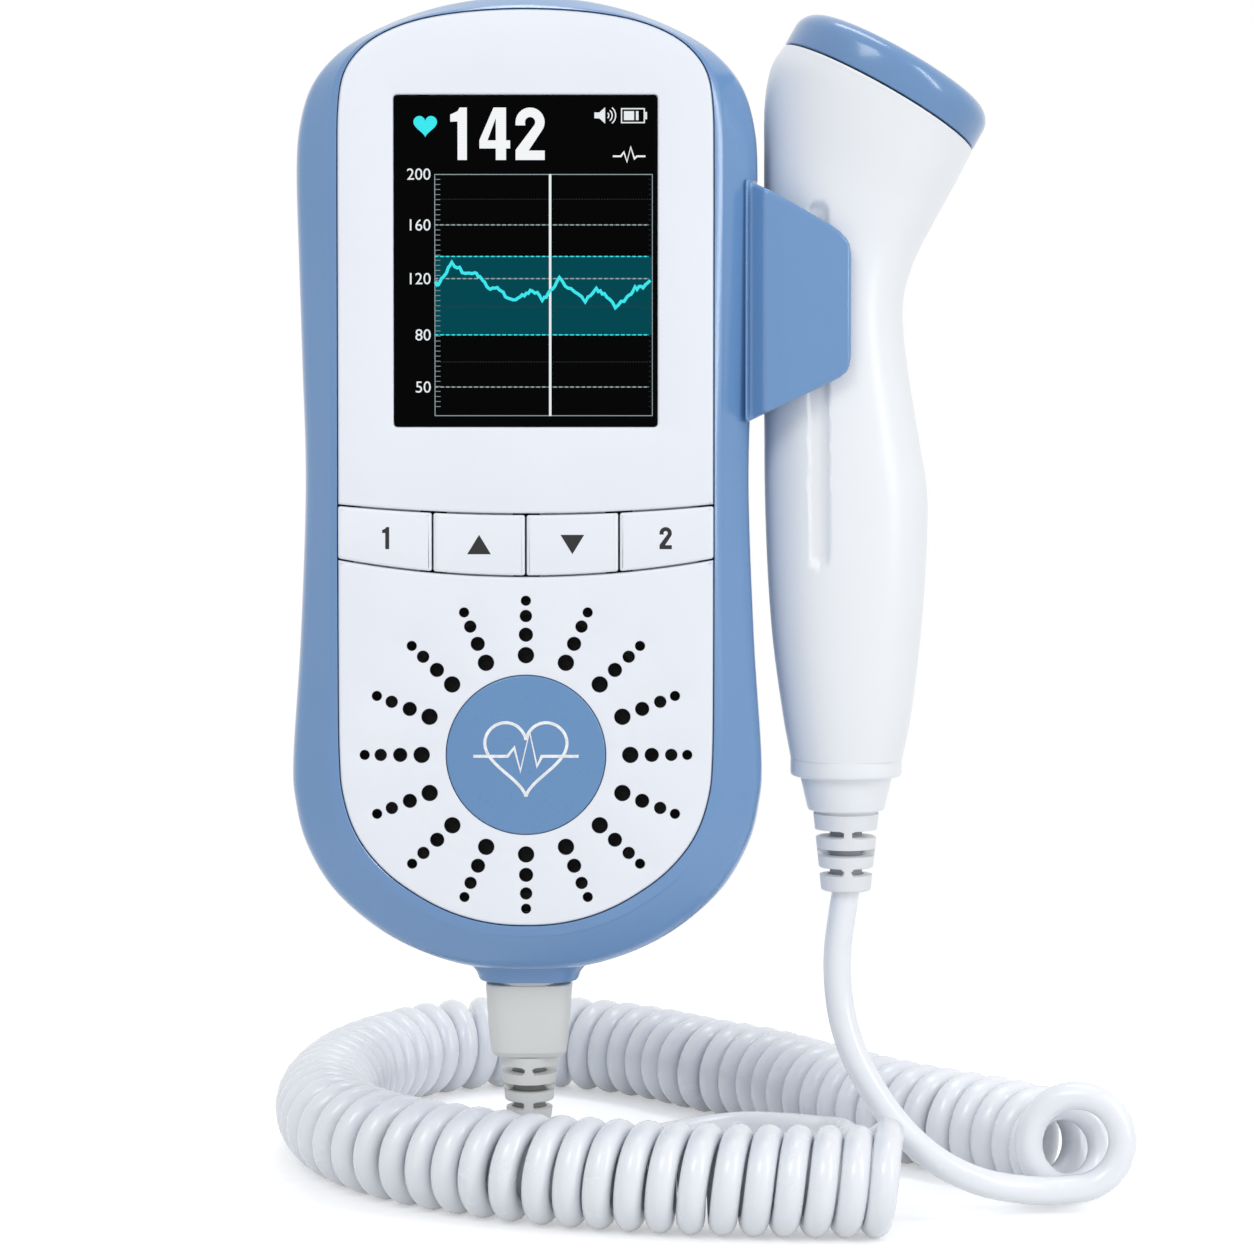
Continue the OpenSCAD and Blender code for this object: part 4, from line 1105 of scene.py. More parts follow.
class MONITOR_OT_battery_cover(bpy.types.Operator):
    """Make the battery cover with its finger grip and tabs"""
    bl_idname = "monitor.battery_cover"
    bl_label = "Battery cover"

    SIZE = (37, 62)
    THICKNESS = 1.8
    # finger grip: number of grooves, their spacing, the width of the lowest and how much each is shorter
    GRIP = (5, 2, 14, 0.8)
    GRIP_DOWN = 11.5

    def execute(self, context):
        setting = context.scene.monitor.casing
        width, height = self.SIZE
        shape = Shape()
        count, pitch, widest, less = self.GRIP
        lowest = BAY_Z + height / 2 - self.GRIP_DOWN
        grooves = [(rectangle(0, lowest + pitch * k, widest - less * k, 1, 0.45), 0.5)
                   for k in range(count)]
        shape.plate(rectangle(0, BAY_Z, width, height, 1.8), 0, -self.THICKNESS, 0.4, dents=grooves,
                    hole_edge=0.15)
        for x in TAB_PLACES:
            shape.box((x - 3, -4, 3), (x + 3, -2.8, 7.8))
            shape.box((x - 3, -2.8, 6.2), (x + 3, -self.THICKNESS, 7.8))
        blue = plastic("cover blue", setting.blue, 0.42)
        dress(shape.object("battery_door"), "cover", [blue], ["battery_cover"])
        return {"FINISHED"}


# ---- face ----

class MONITOR_OT_face(bpy.types.Operator):
    """Make the two white face plates, the sound holes and the badge"""
    bl_idname = "monitor.face"
    bl_label = "Face plates"

    WINDOW_CORNER = 0.7
    CLOTH_R = 27
    HEART_SCALE, MARK_WIDTH, MARK_THIN = 0.42, 0.5, 0.03

    def execute(self, context):
        setting = context.scene.monitor.face
        edge = setting.edge / MM
        white = plastic("face white", setting.white, 0.3, vary=0.012)
        # near-black cloth colour, also used as painted shade on the walls of the sound holes and the badge's
        # recess
        cloth_and_hole_shade = foam("speaker cloth and painted hole shade", (0.012, 0.012, 0.013))
        outline = inset(FACE, FACE_GAP)
        upper = cut_by(outline, sag(KEY_TOP_ARC, KEY_GAP / 2), above=True)
        lower = cut_by(outline, sag(KEY_BOTTOM_ARC, -KEY_GAP / 2), above=False)

        plate = Shape()
        plate.plate(upper, FACE_Y, PLATE_Y, edge, hole_edge=0.4,
                    holes=[rectangle(0, WINDOW_Z, *WINDOW, self.WINDOW_CORNER)])
        dress(plate.object("display_plate"), "root", [white], ["display_fascia"])

        holes = []
        for ray in range(RAYS):
            angle = 2 * math.pi * ray / RAYS
            for distance, radius in SOUND_HOLES:
                holes.append(circle(BADGE[0] + RAY_STRETCH * distance * math.sin(angle),
                                    BADGE[1] + distance * math.cos(angle), radius, 28))
        grille = Shape()
        # the walls of the sound holes and of the badge's recess take the second material, black like the
        # cloth: painted shade in the holes
        grille.plate(lower, FACE_Y, PLATE_Y, edge, holes=holes, wall=1, hole_edge=0.16,
                     dents=[(circle(*BADGE, BADGE_R + 0.1, 96), 0.9)])
        dress(grille.object("speaker_plate"), "root", [white, cloth_and_hole_shade], ["speaker_grille"])

        cloth = Shape()
        cloth.turned([(self.CLOTH_R, PLATE_Y + 0.02), (self.CLOTH_R, PLATE_Y + 0.14)], along_y(*BADGE))
        dress(cloth.object("speaker_cloth"), "root", [cloth_and_hole_shade])
        self.badge(setting)
        return {"FINISHED"}

    def badge(self, setting):
        """Round badge with a plain heart and pulse."""
        blue = plastic("badge blue", setting.badge, 0.28, coat=0.2)
        white = ink("badge white", (0.85, 0.87, 0.9))
        shape = Shape()
        profile = rounded_profile([(0.5, -1), (BADGE_R, -1, 0), (BADGE_R, 0), (0.5, 0)], 0.35)
        shape.turned([(r, FACE_Y - 0.1 - h) for r, h in profile][::-1], along_y(*BADGE))
        x0, z0 = BADGE
        front = FACE_Y - 0.1
        for side in (1, -1):
            half = [heart_point(k / 36, side) for k in range(1, 36)]
            shape.line([(x0 + self.HEART_SCALE * x, z0 + 0.3 + self.HEART_SCALE * z) for x, z in half],
                       self.MARK_WIDTH, front - 0.006 * side, self.MARK_THIN, 1)
        pulse = [(-8.6, 0), (-3, 0), (-1.9, 1.4), (-0.9, -2.4), (0.6, 4), (1.8, -1.6), (2.6, 0), (8.6, 0)]
        shape.line([(x0 + x, z0 - 0.2 + z) for x, z in pulse], self.MARK_WIDTH, front - 0.02,
                   self.MARK_THIN, 1)
        dress(shape.object("round_badge"), "root", [blue, white], ["grille_badge"])


# outlines of plain figures, in hundredths of their height
FIGURE_ONE = [(13.9, 0), (31.7, 0), (31.7, 100), (18, 100), (14, 93), (0, 86.5), (0, 73), (13.9, 73.5)]
FIGURE_FOUR = [(31.3, 0), (50.9, 0), (50.9, 22), (58.7, 22), (58.7, 37.4), (50.9, 37.4), (50.9, 100),
               (27, 100), (0, 38), (0, 22), (31.3, 22)]
FOUR_HOLE = [(15.5, 37.4), (31.3, 37.4), (31.3, 80)]


def arc(x, z, radius, start, end, pieces=16):
    """Points along an arc between two angles in degrees."""
    angles = [math.radians(start + (end - start) * k / pieces) for k in range(pieces + 1)]
    return [(x + radius * math.cos(a), z + radius * math.sin(a)) for a in angles]


FIGURE_TWO = ([(0, 0), (55.7, 0), (55.7, 18), (25, 18)] + arc(27.8, 72.2, 27.8, -38, 180)
              + [(0, 66), (18.5, 66)] + arc(27.8, 72.2, 9.8, 180, -38) + [(0, 19)])


def heart_point(share, side):
    """Point on one half of a heart, from its cleft to its tip."""
    t = math.pi * share
    return (side * 16 * math.sin(t) ** 3,
            13 * math.cos(t) - 5 * math.cos(2 * t) - 2 * math.cos(3 * t) - math.cos(4 * t))


def placed(points, x, z, scale):
    """Outline scaled about its origin, which is moved to x and z."""
    return [(x + a * scale, z + b * scale) for a, b in points]


class MONITOR_OT_keys(bpy.types.Operator):
    """Make the four keys with their marks, each on its own body"""
    bl_idname = "monitor.keys"
    bl_label = "Keys"

    BODIES = ["key_1", "key_up", "key_down", "key_2"]
    REACH = 30.6
    CORNER, END_CORNER = 0.6, 1.1
    FLANGE_HALF, FLANGE_Z = 5.4, (-16.2, -3.4)
    STEM_R, STEM_Z, STEM_END = 2.4, -8.9, -25.9
    TRIANGLES = {1: [(-1.93, -1.58), (1.93, -1.58), (0, 1.58)], 2: [(-1.93, 1.58), (0, -1.58), (1.93, 1.58)]}
    FIGURES = {0: (FIGURE_ONE, 31.7), 3: (FIGURE_TWO, 55.7)}
    FIGURE_SCALE = 0.036

    def execute(self, context):
        setting = context.scene.monitor.face
        edge = setting.edge / MM
        white = plastic("key white", setting.white, 0.3, vary=0.012)
        black = ink("key legend", setting.legend)
        front = FACE_Y - KEY_PROUD
        top, bottom = sag(KEY_TOP_ARC, -KEY_GAP / 2), sag(KEY_BOTTOM_ARC, KEY_GAP / 2)
        for i, name in enumerate(self.BODIES):
            middle = KEY_WIDTH * (i - 1.5)
            left = middle - (KEY_WIDTH - KEY_GAP) / 2 if i else -self.REACH
            right = middle + (KEY_WIDTH - KEY_GAP) / 2 if i < 3 else self.REACH
            xs = [left + (right - left) * k / 16 for k in range(17)]
            outline = [(x, bottom(x)) for x in xs] + [(x, top(x)) for x in reversed(xs)]
            shape = Shape()
            shape.plate(soften(outline, self.corner), front, PLATE_Y + 0.2, edge)
            low, high = self.FLANGE_Z
            shape.box((middle - self.FLANGE_HALF, PLATE_Y + 0.2, low),
                      (middle + self.FLANGE_HALF, PLATE_Y + 1.2, high))
            shape.turned([(self.STEM_R, PLATE_Y + 1.2), (self.STEM_R, self.STEM_END)],
                         along_y(middle, self.STEM_Z), 32)
            level = (bottom(middle) + top(middle)) / 2
            self.legend(shape, i, middle, level, front)
            dress(shape.object(name + "_cap"), name + "_body", [white, black], [name])
        return {"FINISHED"}

    def corner(self, x):
        """Radius of a key's corner at x."""
        return self.END_CORNER if abs(x) > self.REACH - 0.1 else self.CORNER

    def legend(self, shape, i, x, z, front):
        """Plain mark in the middle of a key."""
        if i in self.TRIANGLES:
            mark = placed(self.TRIANGLES[i], x, z, 1)
        else:
            figure, width = self.FIGURES[i]
            scale = self.FIGURE_SCALE
            mark = placed(figure, x - width / 2 * scale, z - 50 * scale, scale)
        shape.flat(mark, front, 0.02, 1)


class MONITOR_OT_display(bpy.types.Operator):
    """Make the display window with its heart-rate figure and trend graph"""
    bl_idname = "monitor.display"
    bl_label = "Display"

    SCALES = [("200", 12.89), ("160", 21.13), ("120", 29.85), ("80", 38.99), ("50", 47.47)]
    FAINT = [16.97, 34.42, 43.39]
    GRAPH = (6.68, 12.89, 42.18, 52.2)
    NORMAL = (26.26, 38.99)
    TREND = [(6.8, 30.4), (7.3, 30.8), (8.36, 29.2), (9.5, 27.4), (11.2, 28.6), (13.3, 29.1), (14.3, 30),
             (15.4, 31.4), (16.9, 31.3), (18.2, 32.5), (19.9, 33.4), (21.3, 32.5), (22.6, 31.6),
             (24.2, 33.2), (25.5, 32), (27, 29.9), (28.9, 31.7), (31.2, 33.5), (33, 31.6), (34.3, 32.5),
             (36.1, 34.3), (38, 33), (39.3, 31.4), (40.6, 31.2), (42.2, 30.1)]
    FRONT = -33.7
    THIN = 0.03
    OUTLINE, TICK = 0.12, 0.82
    SCALE_HEIGHT, FIGURE_HEIGHT = 1.86, 8.5
    LENS_GAP, LENS_CORNER = 0.3, 0.6
    TREND_WIDTH, WAVER = 0.5, 0.3

    def place(self, u, v):
        """Point of the display, from its upper left corner."""
        return u - WINDOW[0] / 2, WINDOW_Z + WINDOW[1] / 2 - v

    def strip(self, shape, u0, v0, u1, v1, material, level=1):
        (x0, z1), (x1, z0) = self.place(u0, v0), self.place(u1, v1)
        face = self.FRONT - self.THIN * (level - 1)
        shape.box((x0, face - self.THIN, z0), (x1, face, z1), material)

    def dashes(self, shape, v, material, level=2):
        """Row of dashes with a dot between each two."""
        left, _, right, _ = self.GRAPH
        pitch, dash, dot = 0.92, 0.58, 0.1
        for k in range(int((right - left) / pitch)):
            u = left + k * pitch
            self.strip(shape, u, v - 0.095, u + dash, v + 0.095, material, level)
            gap = u + (pitch + dash) / 2
            self.strip(shape, gap - dot / 2, v - dot / 2, gap + dot / 2, v + dot / 2, material, level)

    def dots(self, shape, v, material):
        left, _, right, _ = self.GRAPH
        for k in range(int((right - left) / 0.46)):
            u = left + k * 0.46
            self.strip(shape, u, v - 0.06, u + 0.22, v + 0.06, material, 2)

    def execute(self, context):
        setting = context.scene.monitor.face
        GLOW, WHITE, BAND, DIM, LINE, ICON = range(1, 7)
        materials = [glass_black("display glass"), lit("display trace", setting.glow),
                     lit("display figures", (0.93, 0.95, 0.96)), lit("display band", setting.band),
                     lit("display faint", (0.03, 0.04, 0.042)), lit("display dashes", (0.33, 0.41, 0.42)),
                     lit("display icons", (0.84, 0.88, 0.9))]
        shape = Shape()
        lens = rectangle(0, WINDOW_Z, WINDOW[0] - self.LENS_GAP, WINDOW[1] - self.LENS_GAP,
                         self.LENS_CORNER)
        shape.plate(lens, self.FRONT, PLATE_Y + 1, 0.25)
        left, top, right, bottom = self.GRAPH
        self.strip(shape, left, self.NORMAL[0], right, self.NORMAL[1], BAND)
        for v in self.NORMAL:
            self.dashes(shape, v, GLOW)
        for name, v in self.SCALES:
            if v not in (top, self.NORMAL[1]):
                self.dashes(shape, v, LINE)
            x, z = self.place(6.05, v)
            shape.figures(name, x, z - self.SCALE_HEIGHT / 2, self.SCALE_HEIGHT, self.FRONT, self.THIN, ICON)
        for v in self.FAINT:
            self.dots(shape, v, DIM)
        for u in (left, right - self.OUTLINE):
            self.strip(shape, u, top, u + self.OUTLINE, bottom, LINE, 2)
        for v in (top, bottom - self.OUTLINE):
            self.strip(shape, left, v, right, v + self.OUTLINE, LINE, 2)
        for k in range(1, int((bottom - top) / self.TICK)):
            v = top + self.TICK * k
            self.strip(shape, left, v, left + 0.95, v + 0.08, LINE, 2)
            self.strip(shape, right - 0.65, v, right, v + 0.07, DIM, 2)
        self.strip(shape, 25.3, top, 25.7, bottom, ICON, 3)
        self.trend(shape, GLOW)
        self.top_row(shape, GLOW, WHITE, ICON)
        dress(shape.object("display_window"), "root", materials, ["display_lens"])
        return {"FINISHED"}

    def trend(self, shape, material):
        """Wavering trace through the trend's points."""
        wave = random.Random(11)
        points = []
        for (u, v), (u2, v2) in zip(self.TREND, self.TREND[1:]):
            for k in range(4):
                points.append(self.place(u + (u2 - u) * k / 4, v + (v2 - v) * k / 4
                                         + wave.uniform(-self.WAVER, self.WAVER)))
        shape.line(points, self.TREND_WIDTH, self.FRONT - 0.09, self.THIN, material)

    def top_row(self, shape, glow, white, icon):
        """Heart, figure, speaker, battery and pulse along the top."""
        scale = self.FIGURE_HEIGHT / 100
        x, z = self.place(9.28, 10.6)
        for figure, advance, holes in ((FIGURE_ONE, 0, []), (FIGURE_FOUR, 55.7, [FOUR_HOLE]),
                                       (FIGURE_TWO, 124.8, [])):
            left = x + advance * scale
            shape.flat(placed(figure, left, z, scale), self.FRONT, self.THIN, white,
                       [placed(hole, left, z, scale) for hole in holes])
        x, z = self.place(5.21, 4.9)
        heart = [heart_point(k / 30, 1) for k in range(31)]
        heart += [heart_point(k / 30, -1) for k in range(29, 0, -1)]
        shape.flat(placed(heart[::-1], x, z, 0.12), self.FRONT, self.THIN, glow)

        horn = [(32.7, 2.9), (33.5, 2.9), (34.45, 2.05), (34.45, 4.7), (33.5, 3.85), (32.7, 3.85)]
        shape.flat([self.place(*p) for p in horn][::-1], self.FRONT, self.THIN, icon)
        for radius in (0.55, 1.1, 1.67):
            points = [(34.5 + radius * math.cos(a), 3.39 + radius * math.sin(a))
                      for a in (math.radians(-50 + 20 * k) for k in range(6))]
            shape.line([self.place(*p) for p in points], 0.2, self.FRONT, self.THIN, icon)
        battery = [(37.12, 2.29), (40.81, 2.29), (40.81, 4.54), (37.12, 4.54), (37.12, 2.29), (37.7, 2.29)]
        shape.line([self.place(*p) for p in battery], 0.2, self.FRONT, self.THIN, icon)
        for block in ((40.95, 2.82, 41.25, 4), (37.5, 2.68, 39.15, 4.14), (39.45, 2.68, 39.87, 4.14)):
            self.strip(shape, *block, icon)
        pulse = [(35.7, 10), (37, 10), (37.5, 9.3), (38, 10.9), (38.6, 8.5), (39.2, 10.4), (39.6, 10),
                 (41, 10)]
        shape.line([self.place(*p) for p in pulse], 0.28, self.FRONT, self.THIN, white)


# ---- holder ----

class MONITOR_OT_holder(bpy.types.Operator):
    """Make the side holder with its two wings"""
    bl_idname = "monitor.holder"
    bl_label = "Side holder"

    # [x, z] of the wings' upper and lower edges
    UPPER = [(35.7, 50.6), (50.6, 42.1), (52.0, 40.9), (52.8, 39.7), (53.1, 38.6)]
    LOWER = [(35.7, 10.2), (51.1, 17.6), (52.2, 18.4), (52.8, 19.3), (53.1, 20.5)]
    FOOT_X, INNER_X, MIDDLE_X, END_X = 36.35, 39.1, 52.3, 53.1
    HALF, THICKNESS, FOOT_HALF = 12.5, 2.7, 11.2
    RIM, END_ROUND = 1.05, 0.8
    STRAIGHT_X = 42
    # where the foot turns into a wing: [x, half width] behind, and in front, with a ridge and a groove
    FILLET = [(36.75, 11.2), (38, 11.25), (38.75, 12.3), (39.3, 13.7)]
    RIDGE = [(36.15, 11.9), (35.9, 12.5), (35.87, 12.85), (36.05, 13), (36.35, 12.8),
             (36.75, 12.4), (37.3, 12.75), (38.1, 13.8), (38.95, 14.75)]

    def level(self, line, x):
        """Height of an edge at x."""
        x = max(x, line[0][0])
        for (x0, z0), (x1, z1) in zip(line, line[1:]):
            if x <= x1:
                return z0 + (z1 - z0) * (x - x0) / (x1 - x0)
        return line[-1][1]

    def pairs(self, ridge):
        """Inner and outer points in plan, from the middle of the foot to a wing's end."""
        power = 2 / 2.4
        outer_half = self.HALF + self.THICKNESS
        outside = smooth_path([(self.FOOT_X, 0), (self.FOOT_X, 6), (self.FOOT_X, self.FOOT_HALF)], 3)
        bend = self.RIDGE if ridge else self.FILLET
        outside += smooth_path([*bend, (40.3, outer_half - 0.25), (self.STRAIGHT_X, outer_half)], 4)
        outside += [(self.STRAIGHT_X + k, outer_half) for k in (1.5, 3, 4.5, 6, 7.5, 9, 10.3)]
        count = len(outside) - 1
        out = []
        for i, point in enumerate(outside):
            angle = math.pi / 2 * i / count
            out.append(((self.MIDDLE_X - (self.MIDDLE_X - self.INNER_X) * math.cos(angle) ** power,
                         self.HALF * math.sin(angle) ** power), point))
        return out

    def section(self, inner, outer, tip=0.0):
        """Ring round the section between an inner and an outer point; tip draws it in at a wing's end."""
        inner, outer = Vector(inner), Vector(outer)
        span = (outer - inner).length
        way = (outer - inner) / span
        radius = min(self.RIM, span * 0.46)
        ring = []
        corners = [(0, 1, self.LOWER), (0, -1, self.UPPER), (1, -1, self.UPPER), (1, 1, self.LOWER)]
        for side, rise, line in corners:
            for k in range(6):
                turn = math.pi / 2 * k / 5
                if side == 0 and rise > 0 or side == 1 and rise < 0:
                    turn = math.pi / 2 - turn
                across = max(radius * (1 - math.cos(turn)), 0)
                along = max(radius * (1 - math.sin(turn)), 0)
                across = tip + (1 - 2 * tip / span) * across
                place = inner + way * across if side == 0 else outer - way * across
                height = self.level(line, place.x) + rise * (along + tip)
                ring.append((place.x, place.y, height))
        return ring

    def execute(self, context):
        setting = context.scene.monitor.casing
        inner_y, outer_y = self.HALF, self.HALF + self.THICKNESS
        end = []
        for k in range(1, 8):
            turn = math.pi / 2 * k / 7
            x = self.END_X - self.END_ROUND * (1 - math.sin(turn))
            end.append(((x, inner_y), (x, outer_y), self.END_ROUND * (1 - math.cos(turn))))
        front, rear = ([(i, o, 0) for i, o in self.pairs(ridge)] + end for ridge in (True, False))
        whole = [((i[0], -i[1]), (o[0], -o[1]), tip) for i, o, tip in reversed(front[1:])] + rear
        shape = Shape()
        shape.loft([[(x, PROBE_Y + y, z) for x, y, z in self.section(*item)] for item in whole])
        blue = plastic("holder blue", setting.blue, 0.24, coat=0.5)
        dress(shape.object("side_holder"), "root", [blue], ["probe_holder"])
        return {"FINISHED"}


# ---- probe ----

class MONITOR_OT_probe(bpy.types.Operator):
    """Make the probe's two shells, its cap, its end pieces and its strain relief"""
    bl_idname = "monitor.probe"
    bl_label = "Probe"

    GRIP = 11.8
    HEAD_AT = (58.5, PROBE_Y, 64.65)
    TILT = 29.4
    WALL = 2
    CAP_R, CAP_EDGE, CAP_GAP, CAP_THICK = 18, 3.4, 0.3, 6.8
    ARC_POINTS = 120
    # [left x, left z, right x, right z, half depth], from the cord end to the head
    STATIONS = [
        (44.1, -46, 62.8, -46, 9.3), (42.7, -38.2, 64.3, -38.2, 10.5), (41.1, -26.5, 65.7, -26.5, 11.4),
        (40.2, -14.9, 66.6, -14.9, 11.8), (39.7, -2, 66.9, -2, 11.8), (39.6, 8, 65.4, 8, 11.8),
        (39.5, 20.5, 63.4, 20.5, 11.8), (39.5, 33, 62.7, 30, 11.8), (39.5, 45, 64.4, 37, 12.0),
        (39.5, 55, 67.6, 43.5, 13.4), (39.6, 64, 70.8, 49.3, 15.6), (40.7, 70, 72.9, 53.3, 17.1),
        (42.8, 73.5, 74.2, 55.8, 18)]
    GROOVE_TOP, GROOVE_BOTTOM, GROOVE_R = (47.75, 44.8), (48.15, -11.6), 1.6
    END_TOP, RING_BOTTOM, COLLAR_BOTTOM = -46, -48.9, -55.2
    RELIEF_ROWS = [(-58.5, 1), (-61.7, 0), (-64.9, 1)]

    def execute(self, context):
        settings = context.scene.monitor
        white = plastic("probe white", settings.probe.white, 0.3, wave_depth=0.000004, vary=0.006)
        for side, name in ((-1, "front"), (1, "rear")):
            shape = self.half_shell(side, settings.probe.groove / MM)
            dress(shape.object(f"grip_shell_{name}", crease=50), "probe", [white],
                  [f"probe_shell_{name}"])
        self.cap(settings)
        self.ends(settings, white)
        return {"FINISHED"}

    def groove(self, x, z, depth):
        """How deep the groove is at a point of the front."""
        top, bottom, here = Vector(self.GROOVE_TOP), Vector(self.GROOVE_BOTTOM), Vector((x, z))
        along = top - bottom
        share = min(1, max(0, (here - bottom).dot(along) / along.length_squared))
        away = (here - bottom - along * share).length
        edge = min(1, max(0, (self.GROOVE_R + 0.15 - away) / 0.45))
        return depth * edge * edge * (3 - 2 * edge)

    def half_shell(self, side, groove):
        """Half shell in front of (-1) or behind (1) the plane where they meet."""
        stations = smooth_path(self.STATIONS, 14)
        tilt = math.radians(self.TILT)
        axis = Vector((math.sin(tilt), 0, math.cos(tilt)))
        last = stations[-1]
        rings = [(s, 0, 0) for s in stations[:-3]]
        rings += [(last, -0.35, 0), (last, -0.12, 0.05), (last, -0.03, 0.16), (last, 0, 0.3)]
        outer, inner = [], []
        for station, shift, drawn in rings:
            x0, z0, x1, z1, depth = station
            left, right = Vector((x0, 0, z0)), Vector((x1, 0, z1))
            middle = (left + right) / 2 + axis * shift
            half = (right - left).length / 2
            across = (right - left).normalized()
            power = 2 / (2 + 0.25 * max(0, 1 - abs(depth - self.GRIP) / 6))
            outer.append(self.arc_points(middle, across, half - drawn, depth - drawn, power, side, groove))
            inner.append(self.arc_points(middle, across, half - self.WALL, depth - self.WALL, power, side,
                                         0, seam=0))
        solid = [[p.copy() for p in ring] for ring in inner]
        for ring in solid:
            for p in ring:
                p.y = PROBE_Y + side * 0.02
        start = next(i for i, ring in enumerate(outer) if ring[0].z > self.END_TOP + self.WALL)
        rings = [o + i[::-1] for o, i in zip(outer[:start + 1], solid[:start + 1])]
        rings += [o + i[::-1] for o, i in zip(outer[start:], inner[start:])]
        shape = Shape()
        shape.loft(rings)
        bmesh.ops.remove_doubles(shape.mesh, verts=shape.mesh.verts, dist=0.0005)
        return shape

    def arc_points(self, middle, across, half, depth, power, side, groove, seam=0.14):
        """Half ring from the left to the right of the probe, rounded where the shells meet."""
        ring = []
        for k in range(self.ARC_POINTS + 1):
            angle = math.pi * k / self.ARC_POINTS
            c, w = -math.cos(angle), math.sin(angle)
            x = half * math.copysign(abs(c) ** power, c)
            y = depth * abs(w) ** power
            lip = max(0, 1 - y / 0.35) if seam else 0
            p = middle + across * (x - math.copysign(seam * lip * lip, x))
            p.y = PROBE_Y + side * max(y, 0.02)
            if groove and side < 0 and y > 2:
                p.y += self.groove(p.x, p.z, groove)
            ring.append(p)
        return ring

    def cap(self, settings):
        """Blue cap that closes the head."""
        radius, edge, gap, thick = self.CAP_R, self.CAP_EDGE, self.CAP_GAP, self.CAP_THICK
        place = Matrix.Translation(self.HEAD_AT) @ Matrix.Rotation(math.radians(self.TILT), 4, "Y")
        profile = [(0.5, gap + thick - 1.8), (13.2, gap + thick - 1.8), (13.2, gap - 3), (14.8, gap - 3),
                   (14.8, gap), (radius - 0.3, gap), (radius - 0.08, gap + 0.07), (radius, gap + 0.3)]
        profile += [(radius - edge + r, gap + thick - edge + h)
                    for r, h in arc(0, 0, edge, 0, 90, 14)]
        profile += [(9, gap + thick), (0.5, gap + thick)]
        shape = Shape()
        shape.turned(profile, place, 128)
        blue = plastic("cap blue", shaded(settings.casing.blue, 0.92), 0.24, coat=0.5)
        dress(shape.object("acoustic_cap"), "probe", [blue], ["probe_cap"])

    def ends(self, settings, white):
        """End ring, collar and strain relief at the cord's end."""
        place = upright(PROBE_X, PROBE_Y)
        bore = 2.8
        ring = Shape()
        ring.turned(rounded_profile([(bore, self.END_TOP), (9.35, self.END_TOP, 0.12),
                                     (9.35, self.RING_BOTTOM, 0.75), (bore, self.RING_BOTTOM)], 0.3), place)
        dress(ring.object("end_band"), "probe", [white], ["probe_end_ring"])
        collar = Shape()
        collar.turned(rounded_profile([
            (bore, self.RING_BOTTOM), (7.75, self.RING_BOTTOM, 0.1), (6.4, self.COLLAR_BOTTOM + 0.5, 0.7),
            (5.1, self.COLLAR_BOTTOM + 0.5, 0), (5.1, self.COLLAR_BOTTOM, 0), (bore, self.COLLAR_BOTTOM)],
            0.3), place)
        dress(collar.object("end_collar"), "probe", [white], ["probe_collar"])
        soft = plastic("relief white", shaded(settings.probe.white, 0.93), 0.45, grain=0.0005,
                       grain_depth=0.00001, vary=0.02)
        sleeve = strain_relief(PROBE_X, PROBE_Y, self.COLLAR_BOTTOM, PROBE_BOOT_Z, 5.5, 4.15,
                               self.RELIEF_ROWS)
        sleeve.turned([(2.7, -37), (2.7, self.COLLAR_BOTTOM + 0.01)], place, 48)
        # the probe white made much darker for deep in the slot openings: painted shade
        slot_shade = plastic("relief slot painted shade", shaded(settings.probe.white, 0.4), 0.6)
        dress(sleeve.object("probe_strain_relief", crease=60), "probe", [soft, slot_shade],
              ["probe_boot"])


# ---- inner parts ----

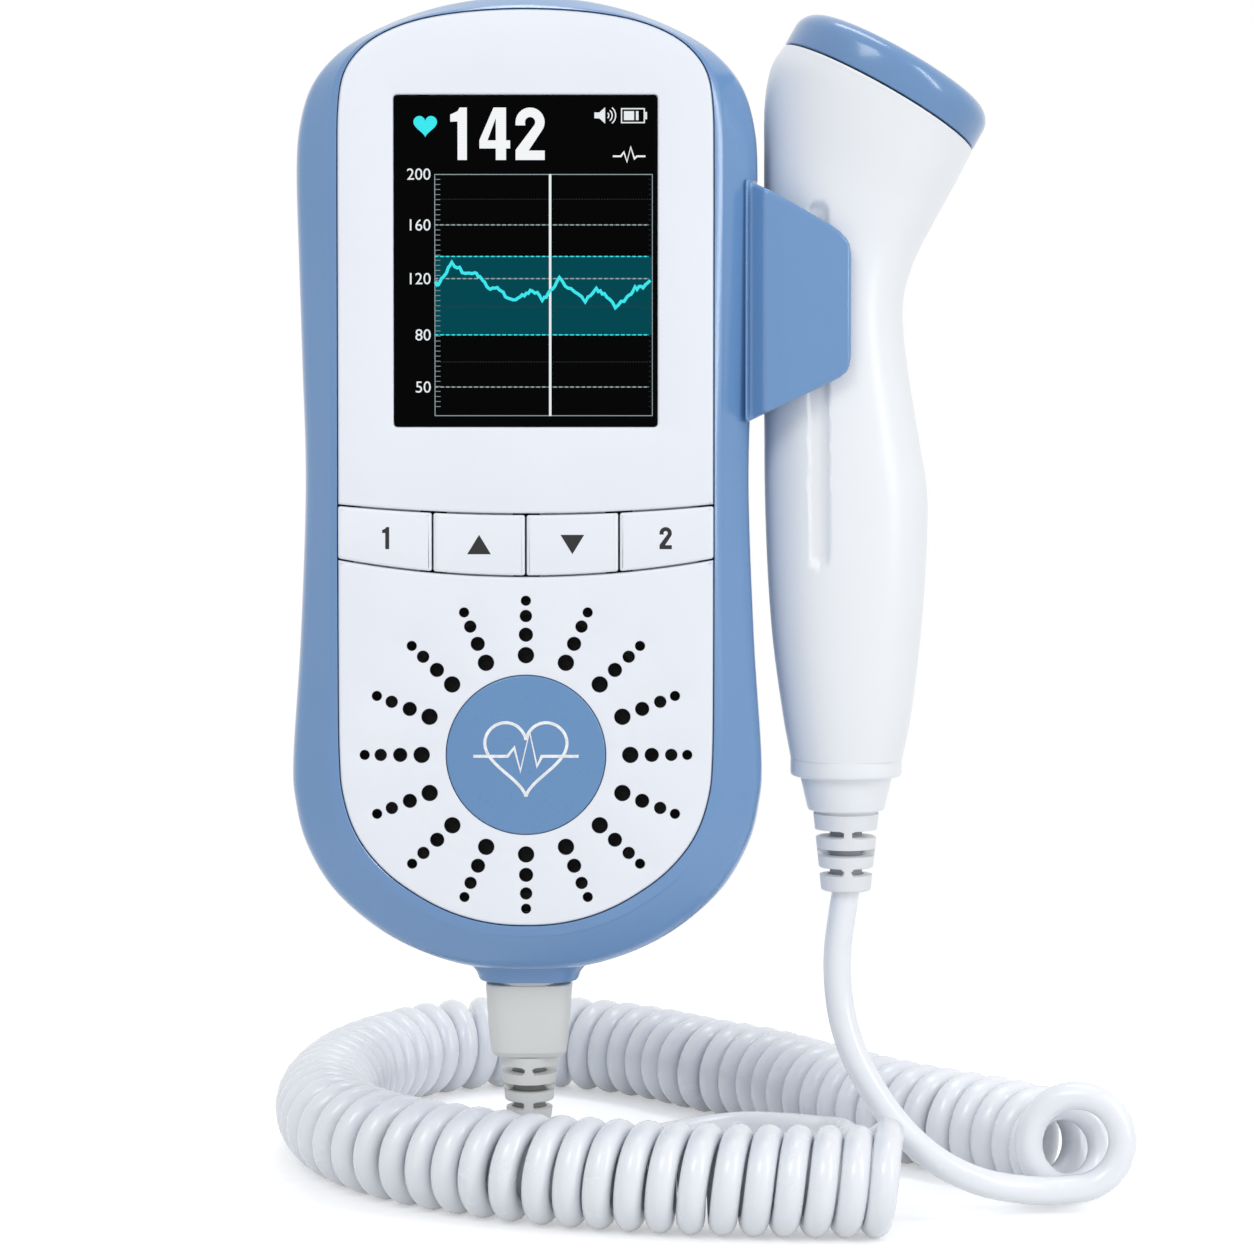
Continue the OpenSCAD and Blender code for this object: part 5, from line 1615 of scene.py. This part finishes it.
class MONITOR_OT_inside(bpy.types.Operator):
    """Give the parts inside the casings and the probe their finishes"""
    bl_idname = "monitor.inside"
    bl_label = "Inner parts"

    def execute(self, context):
        steel = metal("plated steel", (0.42, 0.43, 0.45), 0.3)
        brass = metal("gilded pins", (0.80, 0.60, 0.24), 0.25)
        grey = foam("cell foam", (0.035, 0.035, 0.038))
        black = plastic("black moulding", (0.018, 0.018, 0.02), 0.5)
        white = plastic("white frame", (0.75, 0.77, 0.8), 0.5)
        board = circuit_board("board green")
        finishes = {
            steel: ["board_screws", "case_screws", "holder_screws", "probe_screws", "speaker_basket",
                    "speaker_magnet", "battery_contacts", "plug_nose"],
            brass: ["socket_pins"],
            grey: ["display_gasket", "key_mat", "speaker_gasket", "crystal_backing"],
            black: ["lcd_module", "board_parts", "speaker_cone", "probe_socket", "cable_clamp"],
            white: ["display_carrier"],
            board: ["main_board", "probe_board"],
            battery_wrap("cell sleeve"): ["battery_cells"],
            plastic("fired ceramic", (0.62, 0.54, 0.34), 0.6, grain=0.0006): ["probe_crystals"],
        }
        for material, names in finishes.items():
            for name in names:
                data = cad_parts[name].data
                data.materials.clear()
                data.materials.append(material)
        return {"FINISHED"}


# ---- panel and registration ----

OPERATORS = [
    MONITOR_OT_stage, MONITOR_OT_plug, MONITOR_OT_cord, MONITOR_OT_casings, MONITOR_OT_battery_cover,
    MONITOR_OT_face, MONITOR_OT_keys, MONITOR_OT_display, MONITOR_OT_holder, MONITOR_OT_probe,
    MONITOR_OT_inside]


class MONITOR_PT_panel(bpy.types.Panel):
    """Buttons for the monitor's pieces, and their settings"""
    bl_idname = "MONITOR_PT_panel"
    bl_label = "Heart-rate monitor"
    bl_space_type = "VIEW_3D"
    bl_region_type = "UI"
    bl_category = "Monitor"

    def draw(self, context):
        settings = context.scene.monitor
        for group in ("casing", "face", "probe", "cord", "stage"):
            box = self.layout.box()
            box.label(text=group.capitalize())
            part = getattr(settings, group)
            for name in part.bl_rna.properties.keys():
                if name not in ("rna_type", "name"):
                    box.prop(part, name)
        for operator in OPERATORS:
            self.layout.operator(operator.bl_idname)


CLASSES = [CasingSettings, FaceSettings, ProbeSettings, CordSettings, StageSettings, MonitorSettings,
           *OPERATORS, MONITOR_PT_panel]


def register():
    for item in CLASSES:
        bpy.utils.register_class(item)
    bpy.types.Scene.monitor = PointerProperty(type=MonitorSettings)


def unregister():
    del bpy.types.Scene.monitor
    for item in reversed(CLASSES):
        bpy.utils.unregister_class(item)


def main():
    register()
    for operator in OPERATORS:
        group, name = operator.bl_idname.split(".")
        getattr(getattr(bpy.ops, group), name)()


if __name__ == "__main__":
    main()
